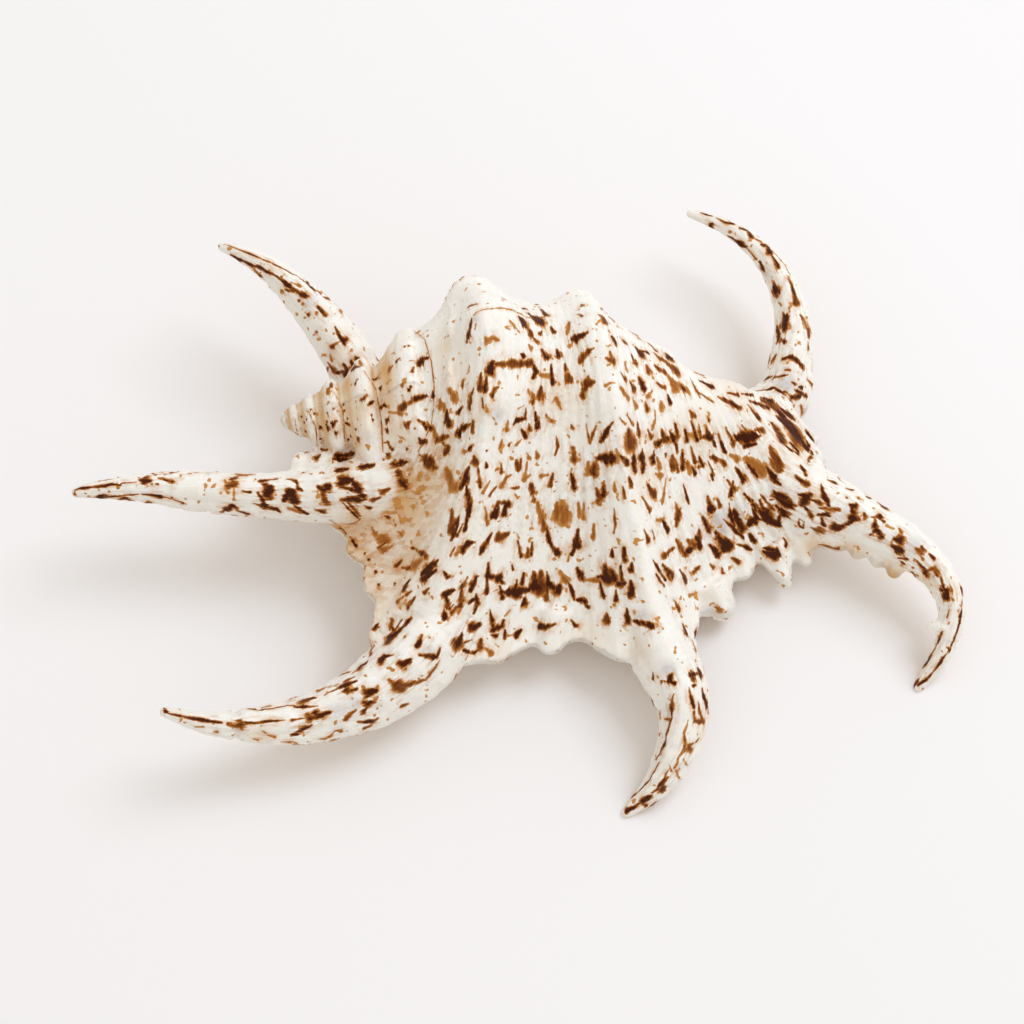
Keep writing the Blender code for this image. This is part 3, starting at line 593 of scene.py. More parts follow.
LOW_DIGIT_STROKES = """
d3 164,708 166,712; m1.2 168,706 180,706 200,707; d1.8 217,708 228,709; m1.2 232,709 245,711
m1.5 248,709 262,710; o1.5 262,708 270,706 276,702 280,701; m1.2 260,710 285,706 298,705
d3.2 164,712 170,714 180,716 195,719 210,721 222,723; m6 228,724 234,726 240,725
d3 240,722 255,723 262,722 275,721 285,720; m1.8 292,720 300,719 308,718; d3.5 295,707 310,707 318,706
m3.5 302,701 315,698; d7 310,718 318,715; d7 316,715 330,713; d5 292,735 300,731 312,725
o1.5 262,731 266,733; o2 268,735 275,737; o2 240,740 245,741; o1.5 253,739 258,740; o1.8 281,742 290,742
o1.5 195,727 203,727; o2 213,732 217,732; o1.5 316,745; o2 329,737 335,731; m3 335,731 341,731
o1.5 320,739 325,739; o1.5 332,741 339,738; m1.5 325,695 340,687 347,685; o1.2 318,691 330,686
d3.5 341,687 350,683 357,681; m2 345,681 354,677; m2 341,675 349,672; d5 346,691 357,689
m4 347,717 356,710; m3 346,719 350,716; d4 363,712 366,709; d5 358,722 372,722; m3 372,722 378,718
m2.5 365,728 372,725; o1.5 364,733 368,731; d7 366,693 376,690; o3 376,690 378,686; o2 362,686
d6 367,704 375,702; o3 375,700 378,697; m2 377,708; o2.5 374,715; m3 402,706 408,704
m7 389,680 395,685 402,690; m8 398,686 412,684; m4 412,684 425,680; m2.5 425,680 435,668 440,660
m2 418,678; d5 381,660 384,656; d3 384,657 393,655; o2 387,668 393,670; m1.5 390,667; d7 402,664 410,660
d5 404,665 411,662; m4 371,650 371,655; o1.5 371,647 376,642; d3.5 360,667 366,663; o1.5 366,663 368,660
d2.5 395,630 402,620; d3 390,625 393,630; m4 374,628 379,627; o2 404,636; o1.5 429,637
"""
NEAR_DIGIT_STROKES = """
d2.5 622,808 625,810; d1.5 626,803 632,797 640,790 648,782 654,772 658,764 660,762
d3 656,759 660,753 664,745 666,738; d3 666,738 668,730 670,722 672,718 672,708; m3 665,719 671,720
m3 672,708 672,700 674,694; d4.5 626,811 634,807 642,802; d4.5 642,802 650,797 652,795; m3 640,800 645,805
d3 652,793 658,789 660,784 664,779 666,774 670,768; m6 662,783 663,790; m3 662,783 668,777
m2 670,766 671,771; o2.5 676,770 679,778; m3 674,768 677,764 678,758 681,752
m4 680,756 684,749 685,740 684,733; o1.8 684,733 687,725 688,720; m3 684,752 690,745 697,741 699,738
m5 688,745 690,750; o1.5 683,759 687,765; m2.5 643,776 646,773; o1.5 630,797 633,790 637,786; o3 659,734
o1.5 660,711 660,716; o1.5 657,676; d6 672,674 669,681; d3 664,681 675,683; m5 691,671 693,678
d4 690,675 700,673; d4 698,669 700,674; d3 693,686 696,685; d3.5 689,687 691,697 694,708
d3 702,689 704,698 707,706; m1.5 708,706 708,712; m4 694,712 695,721 703,722; m3 698,702 700,712 703,723
o1.5 697,734; m1.2 692,640 696,650; m1.2 705,664 708,672; o2 695,660; o2 707,690
"""
RIGHT_DIGIT_STROKES = """
d2.5 846,488 852,490; d2.5 828,480 835,483; o2 858,497; m2.5 866,497 869,498; d2 871,497 877,500
m3 879,503 884,507; m1.5 882,506 894,509; m1.2 900,517 912,520 923,529; m1.5 846,497; d5 850,505 856,506
d8 852,508 854,517; d6 858,517 848,524 836,529; m3.5 864,513 865,517; d4 872,517 880,517
d5 875,519 875,526; d2 880,518 884,522; d5 870,535 876,530 881,537; m3 899,529 902,533; d8 894,539 900,540
d5 893,546 900,550; o1.5 902,550 904,556; d2.5 898,558 906,559; m3 901,562; m6 916,549 922,551; d3 921,546
o2 921,556 923,559; d3 929,554 934,558; o2 914,559; d4 917,561 923,568 926,572; m3 912,572 918,581
m2 912,567; m5 927,571 934,568 937,574; d4 941,577 944,590; d8 941,590 948,590 946,596; m2 820,545 838,549
m2 822,550 836,551; m4 812,528 818,530; d3 958,578 961,582 962,595
d3 962,595 962,610 960,622 957,632 953,642 950,648; d4 948,648 949,650
d3.5 948,652 943,658 940,664 934,671; d3.5 934,671 926,680 919,684; m1.5 961,575 965,582
m2.5 966,612 963,620; o2 953,655 957,648; d3 942,632 938,642; d3 938,642 934,650 928,660 923,667
d1.8 923,667 918,675; d2 916,677 915,682 918,685; m1.5 949,610 947,617; o2 951,597 953,600
m1.2 940,550 953,564
"""
REGIONS = (
    CREST_STROKES, SHOULDER_STROKES, MIDDLE_STROKES, BAND_STROKES, RIDGE_STROKES, FAN_STROKES, CANAL_STROKES,
    SPIRE_STROKES_AND_SUTURE_SHADE, FIRST_DIGIT_STROKES, LEFT_DIGIT_STROKES, BAY_STROKES, LOW_DIGIT_STROKES,
    NEAR_DIGIT_STROKES, RIGHT_DIGIT_STROKES,
)
STROKES = [words for region in REGIONS for words in region.strip().replace("\n", ";").split(";")]


# ---- Making the forms ----


def unit(vectors):
    """The rows of vectors, each made one long."""
    return vectors / np.linalg.norm(vectors, axis=1, keepdims=True)


def tree_of(data):
    """A tree over the faces of a mesh, to find the nearest face or cast a ray."""
    return BVHTree.FromPolygons([v.co for v in data.vertices], [p.vertices for p in data.polygons])


def smooth_rows(rows, steps):
    """Rows of numbers carried smoothly from each to the next, with steps rows for each gap."""
    rows = np.array(rows, dtype=float)
    padded = np.vstack((2.0 * rows[0] - rows[1], rows, 2.0 * rows[-1] - rows[-2]))
    out = []
    for i in range(1, len(padded) - 2):
        before, start, end, after = padded[i - 1:i + 3]
        for k in range(steps):
            t = k / steps
            out.append(0.5 * (2.0 * start + (end - before) * t
                              + (2.0 * before - 5.0 * start + 4.0 * end - after) * t ** 2
                              + (3.0 * start - before - 3.0 * end + after) * t ** 3))
    out.append(padded[-2])
    return np.array(out)


def loft(rings):
    """A closed mesh in metres through rings of equal count, with a cap at each end."""
    count, sides = len(rings), len(rings[0])
    mesh = bmesh.new()
    verts = [[mesh.verts.new(tuple((point + SHIFT) * MM)) for point in ring] for ring in rings]
    for i in range(count - 1):
        for j in range(sides):
            k = (j + 1) % sides
            mesh.faces.new((verts[i][j], verts[i][k], verts[i + 1][k], verts[i + 1][j]))
    mesh.faces.new(list(reversed(verts[0])))
    mesh.faces.new(verts[-1])
    bmesh.ops.recalc_face_normals(mesh, faces=mesh.faces)
    return mesh


def spire_frame():
    """The spire's axis and the two directions across it."""
    axis = (SPIRE_END - SPIRE_START) / np.linalg.norm(SPIRE_END - SPIRE_START)
    side = np.cross(np.array((0.0, 0.0, 1.0)), axis)
    side /= np.linalg.norm(side)
    return axis, side, np.cross(axis, side)


def whorl_place(along, angle):
    """Place between two sutures, from 0 to 1, and the number of the whorl."""
    turns = np.log(along / LAST_SUTURE) / math.log(WHORL_RATIO) - angle / TURN
    return turns - np.floor(turns), np.floor(turns)


def spire_radius(along, angle):
    """Radius of the spire at a distance from the cone's point and a growth angle."""
    place, _ = whorl_place(along, angle)
    bulge = np.sin(math.pi * place ** SHOULDER_LATE) ** SHOULDER_ROUND
    suture = np.exp(-(np.minimum(place, 1.0 - place) / SUTURE_WIDTH) ** 2)
    nodes = 0.5 + 0.5 * np.cos(SHOULDER_NODES * angle)
    lift = (SHOULDER_LIFT + NODE_LIFT * nodes) * bulge - SUTURE_DEPTH * suture
    lift *= 1.0 - LIP_FLAT * smooth_step(*LIP_FLAT_ALONG, along) * np.maximum(0.0, np.sin(angle))
    return CONE_SLOPE * (along - CONE_POINT) * (WHORL_BASE + lift)


def spire():
    """The coiled spire around its axis, which leans up slightly towards the body."""
    axis, side, up = spire_frame()
    angles = np.linspace(0.0, TURN, SPIRE_SIDES, endpoint=False)
    rings = []
    for along in np.linspace(APEX_CUT, SPIRE_LENGTH, SPIRE_RINGS):
        rounding = math.sqrt(min(1.0, (along - APEX_CUT + APEX_OPEN) / APEX_ROUND))
        radius = spire_radius(along, angles) * rounding
        middle = SPIRE_START + axis * along
        ring = np.outer(radius * np.cos(angles), up)
        rings.append(middle + ring - np.outer(radius * np.sin(angles), side))
    return loft(rings)


def flow_ring(row):
    """One closed ring of the last whorl: lip edge, slope, crest, back, belly and underside."""
    crest, bend, lip, back = row[0:3], row[3:5], row[5:8], row[8:11]
    belly_y, belly_z, fall, thick = row[11:15]
    points = []
    for t in np.linspace(1.0, 0.0, SLOPE_POINTS, endpoint=False):
        soft = (math.hypot(t, CREST_SOFT) - CREST_SOFT) / (math.hypot(1.0, CREST_SOFT) - CREST_SOFT)
        plan = (1.0 - t) ** 2 * crest[:2] + 2.0 * t * (1.0 - t) * bend + t ** 2 * lip[:2]
        height = lip[2] + (crest[2] - lip[2]) * max(0.0, 1.0 - soft) ** fall
        points.append((plan[0], plan[1], height))
    for angle in np.linspace(0.0, math.pi / 2.0, BACK_POINTS, endpoint=False):
        plan = crest[:2] + (back[:2] - crest[:2]) * math.sin(angle) ** BACK_FLARE
        points.append((plan[0], plan[1], back[2] + (crest[2] - back[2]) * math.cos(angle) ** BACK_SQUARE))
    belly = np.array((0.5 * (crest[0] + back[0]), belly_y, belly_z))
    for angle in np.linspace(0.0, math.pi / 2.0, BELLY_POINTS, endpoint=False):
        plan = belly[:2] + (back[:2] - belly[:2]) * math.cos(angle) ** BELLY_SQUARE
        height = belly[2] + (back[2] - belly[2]) * (1.0 - math.sin(angle) ** BELLY_SQUARE)
        points.append((plan[0], plan[1], height))
    under = np.array((lip[0], lip[1], lip[2] - thick))
    inward = belly[:2] - lip[:2]
    inward /= np.linalg.norm(inward)
    under[:2] += inward * EDGE_INSET * thick
    middle = (1.0 - UNDER_BEND) * belly[:2] + UNDER_BEND * bend
    for t in np.linspace(0.0, 1.0, UNDER_POINTS):
        plan = (1.0 - t) ** 2 * belly[:2] + 2.0 * t * (1.0 - t) * middle + t ** 2 * under[:2]
        height = belly[2] + (under[2] - belly[2]) * t ** UNDER_FALL
        points.append((plan[0], plan[1], height))
    points.append(tuple(lip - np.array((inward[0], inward[1], 0.0)) * EDGE_ROUND * thick
                        - np.array((0.0, 0.0, 0.5 * thick))))
    return np.array(points)


def whorl_rings():
    """The rings of the body whorl with its ribs, knobs and flared lip, in rows across and points along."""
    rows = smooth_rows(FLOW_LINES, ROW_STEPS)
    across = np.arange(len(rows)) / ROW_STEPS
    outward = unit(rows[:, 5:7] - rows[:, 3:5])
    rows[:, 5:7] += SCALLOP_DEPTH * outward * np.sin(TURN * SCALLOP_WAVES * across)[:, None]
    rings = np.array([flow_ring(row) for row in rows])
    ribbed = SLOPE_POINTS + BACK_POINTS // 2 + RIB_PAST
    upper = np.zeros(rings.shape[1])
    upper[:ribbed] = np.sin(np.linspace(*RIB_SWELL, ribbed) * math.pi)
    normal = np.cross(np.gradient(rings, axis=0), np.gradient(rings, axis=1))
    normal /= np.linalg.norm(normal, axis=2, keepdims=True) + 1e-9
    lift = np.zeros(rings.shape[:2])
    for middle, height in zip(RIB_ROWS, RIB_HEIGHT):
        lift += height * np.outer(np.exp(-((across - middle) / RIB_WIDTH) ** 2), upper)
    for x, y, z, height, radius in KNOBS:
        gap = np.linalg.norm(rings - np.array((x, y, z)), axis=2)
        lift += height * np.exp(-(gap / radius) ** 2)
    under = np.zeros(rings.shape[1])
    start = SLOPE_POINTS + BACK_POINTS + BELLY_POINTS
    under[start:start + UNDER_POINTS] = np.sin(np.linspace(0.0, 1.0, UNDER_POINTS) * math.pi)
    for middle in CANAL_ROWS:
        lift -= CANAL_DEPTH * np.outer(np.exp(-((across - middle) / CANAL_WIDTH) ** 2), under)
    return rings + normal * lift[:, :, None]


def horn(points):
    """A tapered tube along a smooth line through points of x, y, z, radius.

    Its section has a keel on top and a seam below, and its tip is rounded.
    """
    rows = smooth_rows(points, DIGIT_STEPS)
    line, radii = rows[:, :3], rows[:, 3]
    tangents = unit(np.gradient(line, axis=0))
    angles = np.linspace(0.0, TURN, DIGIT_SIDES, endpoint=False)
    section = 1.0 + KEEL * np.cos(KEELS * (angles - 0.5 * math.pi))
    section -= SEAM_DEPTH * np.exp(-((angles - 1.5 * math.pi) / SEAM_WIDTH) ** 2)
    rings = []
    for middle, tangent, radius in zip(line, tangents, radii):
        side = np.cross(tangent, np.array((0.0, 0.0, 1.0)))
        side /= np.linalg.norm(side)
        up = np.cross(side, tangent)
        ring = np.outer(section * np.cos(angles), side) + np.outer(section * np.sin(angles), up)
        rings.append(middle + radius * ring)
    end, tangent, radius = line[-1], tangents[-1], radii[-1]
    up = np.cross(side, tangent)
    for lean in TIP_LEANS:
        ring = np.outer(np.cos(angles), side) + np.outer(np.sin(angles), up)
        rings.append(end + tangent * radius * math.sin(lean) + ring * radius * math.cos(lean))
    return loft(rings)


def mouth_hollow():
    """The hollow of the mouth: a slot below that widens and curls up over the columella."""
    rings = []
    for x, middle, top, slot, hollow, turn in smooth_rows(MOUTH, MOUTH_STEPS):
        radius = CURL_SHARE * top
        path = [(middle, -SLOT_DEPTH), (middle, 0.0)]
        for angle in np.radians(np.linspace(CURL_START, turn, CURL_POINTS)):
            height = top - radius + radius * math.sin(angle)
            path.append((middle + radius * (1.0 - math.cos(angle)), height))
        path = np.array(path)
        ahead = unit(np.gradient(path, axis=0))
        out = np.column_stack((ahead[:, 1], -ahead[:, 0]))
        share = np.linspace(0.0, 1.0, len(path))
        width = np.interp(share, MOUTH_WIDENS, (slot, slot, hollow, CURL_END * hollow))[:, None]
        outline = np.vstack((path + out * width, (path - out * width)[::-1]))
        rings.append(np.column_stack((np.full(len(outline), x), outline)))
    return loft(rings)


def joined(forms):
    """All forms in one bmesh."""
    whole = bmesh.new()
    for form in forms:
        data = bpy.data.meshes.new("form")
        form.to_mesh(data)
        form.free()
        whole.from_mesh(data)
        bpy.data.meshes.remove(data)
    return whole


def make_object(name, mesh):
    """A new object in the scene from a bmesh."""
    data = bpy.data.meshes.new(name)
    mesh.to_mesh(data)
    mesh.free()
    item = bpy.data.objects.new(name, data)
    bpy.context.scene.collection.objects.link(item)
    return item


def settle(item):
    """The object's modifiers applied, as a plain mesh."""
    shape = item.evaluated_get(bpy.context.evaluated_depsgraph_get())
    data = bpy.data.meshes.new_from_object(shape)
    item.modifiers.clear()
    old = item.data
    item.data = data
    bpy.data.meshes.remove(old)
    return item


def add_skin(item, name, voxel, turns):
    """One skin over all overlapping forms of the object, smoothed."""
    skin = item.modifiers.new(name, "REMESH")
    skin.mode = "VOXEL"
    skin.voxel_size = voxel * MM
    if turns:
        smooth = item.modifiers.new(name + "_smooth", "SMOOTH")
        smooth.factor = 0.5
        smooth.iterations = turns


def add_cut(item, name, cutter):
    """Cut one shape out of the object."""
    cut = item.modifiers.new(name, "BOOLEAN")
    cut.operation = "DIFFERENCE"
    cut.solver = "EXACT"
    cut.object = cutter


def floor_block():
    """A block under the floor, which trims the shell flat where it rests."""
    block = bmesh.new()
    bmesh.ops.create_cube(block, size=1.0)
    bmesh.ops.scale(block, vec=(FLOOR_SIDE * MM, FLOOR_SIDE * MM, FLOOR_DEPTH * MM), verts=block.verts)
    bmesh.ops.translate(block, vec=(0.0, 0.0, -0.5 * FLOOR_DEPTH * MM), verts=block.verts)
    return block


# ---- Reading the skin and carving its relief ----


def smooth_step(low, high, value):
    """0 below low, 1 above high and a soft step between them."""
    t = np.clip((value - low) / (high - low), 0.0, 1.0)
    return t * t * (3.0 - 2.0 * t)


def read_points(data):
    """Places and normals of a mesh's vertices, the places in millimetres without the shift in plan."""
    places = np.zeros(len(data.vertices) * 3)
    data.vertices.foreach_get("co", places)
    normals = np.zeros(len(data.vertices) * 3)
    data.vertices.foreach_get("normal", normals)
    return places.reshape(-1, 3) / MM - SHIFT, normals.reshape(-1, 3)


def nearest_on(tree, places):
    """For each place, the nearest point of the tree, its face and its distance in millimetres."""
    found = [tree.find_nearest(Vector((place + SHIFT) * MM)) for place in places]
    points = np.array([tuple(hit[0]) for hit in found]) / MM - SHIFT
    faces = np.array([hit[2] for hit in found])
    return points, faces, np.array([hit[3] for hit in found]) / MM


def whorl_flow(rings):
    """For each point of the whorl's rings: row number, and the way from the crest along the ring in mm."""
    rows = np.repeat((np.arange(len(rings)) / ROW_STEPS)[:, None], rings.shape[1], axis=1)
    steps = np.linalg.norm(np.diff(rings, axis=1), axis=2)
    way = np.concatenate((np.zeros((len(rings), 1)), np.cumsum(steps, axis=1)), axis=1)
    return rows, way[:, SLOPE_POINTS:SLOPE_POINTS + 1] - way


class Skin:
    """What the looks need to know of each point of the skin: on which form it lies, and where on it."""

    def __init__(self, data, mouth):
        self.places, self.normals = read_points(data)
        self.read_whorl()
        self.read_spire()
        self.read_digits()
        _, _, gap = nearest_on(tree_of(mouth), self.places)
        self.mouth = 1.0 - smooth_step(MOUTH_SKIN, MOUTH_SKIN + MOUTH_FADE, gap)

    def read_whorl(self):
        """Row and way along the flow lines of the last whorl, from the corners of its nearest face."""
        rings = whorl_rings()
        rows, way = whorl_flow(rings)
        form = loft(list(rings))
        form.faces.ensure_lookup_table()
        form.verts.index_update()
        corners = np.array([[v.index for v in face.verts[:4]] for face in form.faces])
        tree = BVHTree.FromBMesh(form)
        points, faces, gap = nearest_on(tree, self.places)
        near = corners[faces]
        spots = rings.reshape(-1, 3)
        weight = 1.0 / (np.linalg.norm(spots[near] - points[:, None, :], axis=2) ** 2 + 1e-4)
        weight /= weight.sum(axis=1, keepdims=True)
        self.row = (rows.reshape(-1)[near] * weight).sum(axis=1)
        self.way = (way.reshape(-1)[near] * weight).sum(axis=1)
        self.whorl = 1.0 - smooth_step(*WHORL_HOLD, gap)
        form.free()

    def read_spire(self):
        """Distance along the spire's axis, angle round it, and how much of the skin is the spire's."""
        axis, side, up = spire_frame()
        reach = self.places - SPIRE_START
        self.along = reach @ axis
        self.angle = np.arctan2(-(reach @ side), reach @ up) % TURN
        out = np.hypot(reach @ side, reach @ up)
        safe = np.clip(self.along, APEX_CUT, SPIRE_LENGTH)
        self.place, self.turn = whorl_place(safe, self.angle)
        close = np.abs(out - spire_radius(safe, self.angle))
        self.spire = (1.0 - smooth_step(*SPIRE_HOLD, close)) * (self.along < SPIRE_LENGTH)

    def read_digits(self):
        """For the digit with the strongest hold: its number, way from its tip, angle round it and radius."""
        count = len(self.places)
        self.digit = np.zeros(count)
        self.number = np.full(count, -1)
        self.tip_way = np.full(count, 99.0)
        self.turned = np.zeros(count)
        self.girth = np.ones(count)
        self.grain = np.zeros((count, 3))
        for number, points in enumerate(DIGITS):
            rows = smooth_rows(points, DIGIT_STEPS)
            line, radii = rows[:, :3], rows[:, 3]
            way = np.concatenate(((0.0,), np.cumsum(np.linalg.norm(np.diff(line, axis=0), axis=1))))
            way = way[-1] + radii[-1] - way
            tangents = unit(np.gradient(line, axis=0))
            nearest = np.full(count, 1e9)
            spot = np.zeros(count, int)
            for k, middle in enumerate(line):
                far = ((self.places - middle) ** 2).sum(axis=1)
                closer = far < nearest
                nearest[closer] = far[closer]
                spot[closer] = k
            reach = self.places - line[spot]
            ahead = (reach * tangents[spot]).sum(axis=1)
            side = unit(np.cross(tangents[spot], np.array((0.0, 0.0, 1.0))))
            up = np.cross(side, tangents[spot])
            out = np.hypot((reach * side).sum(axis=1), (reach * up).sum(axis=1))
            last = spot == len(line) - 1
            ratio = out / radii[spot]
            hold = 1.0 - smooth_step(*DIGIT_HOLD, ratio)
            hold *= smooth_step(DIGIT_ROOT, 2.0 * DIGIT_ROOT, way[0] - way[spot])
            stronger = hold > self.digit
            self.digit = np.where(stronger, hold, self.digit)
            self.number = np.where(stronger, number, self.number)
            self.tip_way = np.where(stronger, way[spot] - np.where(last, ahead, 0.0), self.tip_way)
            self.grain = np.where(stronger[:, None], tangents[spot], self.grain)
            turned = np.arctan2((reach * up).sum(axis=1), (reach * side).sum(axis=1))
            self.turned = np.where(stronger, turned, self.turned)
            self.girth = np.where(stronger, radii[spot], self.girth)


def waves(values, seed, count):
    """A gentle wander between about -1 and 1 along values, from a few waves of seeded length."""
    dice = np.random.default_rng(seed)
    total = np.zeros(len(values))
    for k in range(count):
        pace = dice.uniform(*WAVE_PACES)
        total += np.sin(values * pace * (k + 1) + dice.uniform(0.0, WAVE_STARTS)) / (k + 1)
    return total / WAVE_SIZE


def bay_share(skin):
    """How much of the skin is in the bay beside the spire, where fine cords and growth lines cross."""
    return skin.whorl * (1.0 - smooth_step(*BAY_ROWS, skin.row)) * smooth_step(*BAY_WAY, skin.way)


def relief(skin, sizes):
    """Height of the fine relief in mm: cords, growth lines, and the keels and grooves of the digits."""
    row = skin.row + CORD_WANDER * waves(skin.way * 0.12, 3, 3)
    cords = np.cos(TURN * CORDS_PER_ROW * row) ** 3 * (0.7 + 0.5 * waves(skin.way * 0.2 + row, 5, 2))
    strong = np.exp(-((row * 0.5 - np.round(row * 0.5)) / STRONG_WIDTH) ** 2)
    woven = np.cos(TURN * BAY_CORDS * row) ** 3 + 0.6 * np.cos(skin.way * BAY_GROWTH) ** 5
    cords *= CORDS_BEHIND + (1.0 - CORDS_BEHIND) * smooth_step(-4.0, 12.0, skin.way)
    growth = waves(skin.way * 2.2 + 0.8 * waves(row * 1.4, 7, 3), 11, 4)
    steps = (skin.way + STEP_WANDER * waves(row, 9, 3)) % GROWTH_STEP
    growth += np.exp(-((steps - 1.0) / STEP_WIDTH) ** 2)
    cords += STRONG_CORD * strong
    height = skin.whorl * (sizes.cord_height * cords + sizes.growth_height * growth)
    height += BAY_HEIGHT * (bay_share(skin) * woven)
    spiral = np.cos(TURN * SPIRE_CORDS * skin.place) ** 3
    axial = np.cos(skin.angle * AXIAL_LINES + 2.0 * waves(skin.along, 13, 3))
    lines = SPIRE_CORD_HEIGHT * spiral + AXIAL_HEIGHT * axial
    height += skin.spire * (1.0 - 0.6 * skin.whorl) * lines
    keel = np.exp(-((skin.turned - 0.5 * math.pi) / KEEL_WIDTH) ** 2)
    grooves = np.exp(-((np.abs(skin.turned - 0.5 * math.pi) - GROOVE_ANGLE) / GROOVE_WIDTH) ** 2)
    lumps = waves(skin.tip_way * 0.9 + 2.0 * np.sin(skin.turned), 17, 4)
    digit = skin.digit * np.clip(skin.girth / 3.0, 0.35, 1.0)
    height += digit * (KEEL_HEIGHT * keel - GROOVE_DEPTH * grooves + LUMP_HEIGHT * lumps)
    for number, way, width, depth in SCARS:
        ring = np.exp(-((skin.tip_way - way + 0.6 * np.sin(skin.turned)) / width) ** 2)
        height -= depth * skin.digit * (skin.number == number) * ring
    height *= 1.0 - skin.mouth
    return height * smooth_step(*RELIEF_HEIGHTS, skin.places[:, 2])


def build_skin(sizes):
    """The whole shell as one fine skin, with its mouth cut out."""
    scale = SKIN_COARSE / sizes.skin_size
    forms = [horn(points) for points in DIGITS + LOBES]
    shell = make_object("chiragra_shell", joined([spire(), loft(list(whorl_rings()))] + forms))
    mouth = make_object("mouth_hollow", mouth_hollow())
    add_skin(mouth, "skin", sizes.skin_size, 0)
    settle(mouth)
    add_skin(shell, "fused", sizes.skin_size, round(SMOOTH_FUSED * scale ** 2))
    add_cut(shell, "mouth", mouth)
    add_skin(shell, "cut", sizes.skin_size, round(SMOOTH_CUT * scale ** 2))
    return settle(shell), mouth


def shrink(shell, sizes):
    """Fewer triangles, taken first where the skin is even, then the flat resting spots."""
    triangles = sum(len(face.vertices) - 2 for face in shell.data.polygons)
    fewer = shell.modifiers.new("fewer", "DECIMATE")
    fewer.ratio = sizes.triangles / triangles
    floor = make_object("floor_block", floor_block())
    add_cut(shell, "rest", floor)
    settle(shell)
    data = shell.data
    data.shade_smooth()
    for face in data.polygons:
        if all(abs(data.vertices[index].co.z) < FLAT_GAP * MM for index in face.vertices):
            face.use_smooth = False
            for loop in face.loop_indices:
                data.edges[data.loops[loop].edge_index].use_edge_sharp = True
    bpy.data.objects.remove(floor)


def carve(shell, mouth, sizes):
    """Pushes the fine relief into the skin."""
    skin = Skin(shell.data, mouth.data)
    moved = skin.places + skin.normals * relief(skin, sizes)[:, None] + SHIFT
    shell.data.vertices.foreach_set("co", (moved * MM).ravel())
    shell.data.update()


# ---- Casting the marks, and the painted shade along the spire's sutures, onto the skin ----


def keep_values(data, name, values):
    """A value for each point of the mesh, which the material reads by its name."""
    layer = data.attributes.new(name, "FLOAT", "POINT")
    layer.data.foreach_set("value", np.ascontiguousarray(values, dtype=np.float32))


def keep_vectors(data, name, vectors, domain):
    """A vector for each point, corner or face of the mesh, which the material reads by its name."""
    layer = data.attributes.new(name, "FLOAT_VECTOR", domain)
    layer.data.foreach_set("vector", np.ascontiguousarray(vectors, dtype=np.float32).ravel())


def linear(hex_colour):
    """An sRGB hex colour as linear red, green, blue and full alpha."""
    parts = [int(hex_colour[i:i + 2], 16) / 255.0 for i in (1, 3, 5)]
    return tuple(c / 12.92 if c <= 0.04045 else ((c + 0.055) / 1.055) ** 2.4 for c in parts) + (1.0,)


def add_node(tree, kind, settings=(), inputs=(), label=""):
    """One node with its settings, and its inputs linked from sockets or set to values or hex colours."""
    node = tree.nodes.new(kind)
    node.label = label
    for key, value in dict(settings).items():
        setattr(node, key, value)
    for key, value in dict(inputs).items():
        if isinstance(value, bpy.types.NodeSocket):
            tree.links.new(value, node.inputs[key])
        else:
            node.inputs[key].default_value = linear(value) if isinstance(value, str) else value
    return node


def view_frame():
    """Place of the camera in mm, and the directions to its right, up and back."""
    rise = math.radians(VIEW_ELEVATION)
    back = np.array((0.0, -math.cos(rise), math.sin(rise)))
    up = np.array((0.0, math.sin(rise), math.cos(rise)))
    return VIEW_TARGET + back * VIEW_DISTANCE, np.array((1.0, 0.0, 0.0)), up, back


def read_stroke(words):
    """A stroke's tone letter, its width and its points, in pixels, from words as in the lists above."""
    first, *spots = words.split()
    return first[0], float(first[1:]), [tuple(float(n) for n in spot.split(",")) for spot in spots]


def cast_pixel(tree, x, y):
    """The place and normal of the skin under a pixel of the picture."""
    eye, right, up, back = view_frame()
    ray = right * (x - 0.5 * FRAME_PIXELS) + up * (0.5 * FRAME_PIXELS - y) - back * VIEW_FOCAL
    spot, normal, _, _ = tree.ray_cast(Vector(eye) * MM, Vector(ray).normalized())
    return spot, normal


def cast_spots(tree, skin, spots):
    """How strongly soft spots of the picture tint each point of the skin, from 0 to 1."""
    tint = np.zeros(len(skin.places))
    pixel = VIEW_DISTANCE / VIEW_FOCAL
    for x, y, radius, strength in spots:
        spot, normal = cast_pixel(tree, x, y)
        if spot is not None:
            gap = np.linalg.norm(skin.places + SHIFT - np.array(spot) / MM, axis=1)
            facing = smooth_step(*SPOT_FACING, skin.normals @ np.array(normal))
            tint = np.maximum(tint, strength * facing * np.exp(-(gap / (radius * pixel)) ** 2))
    return tint


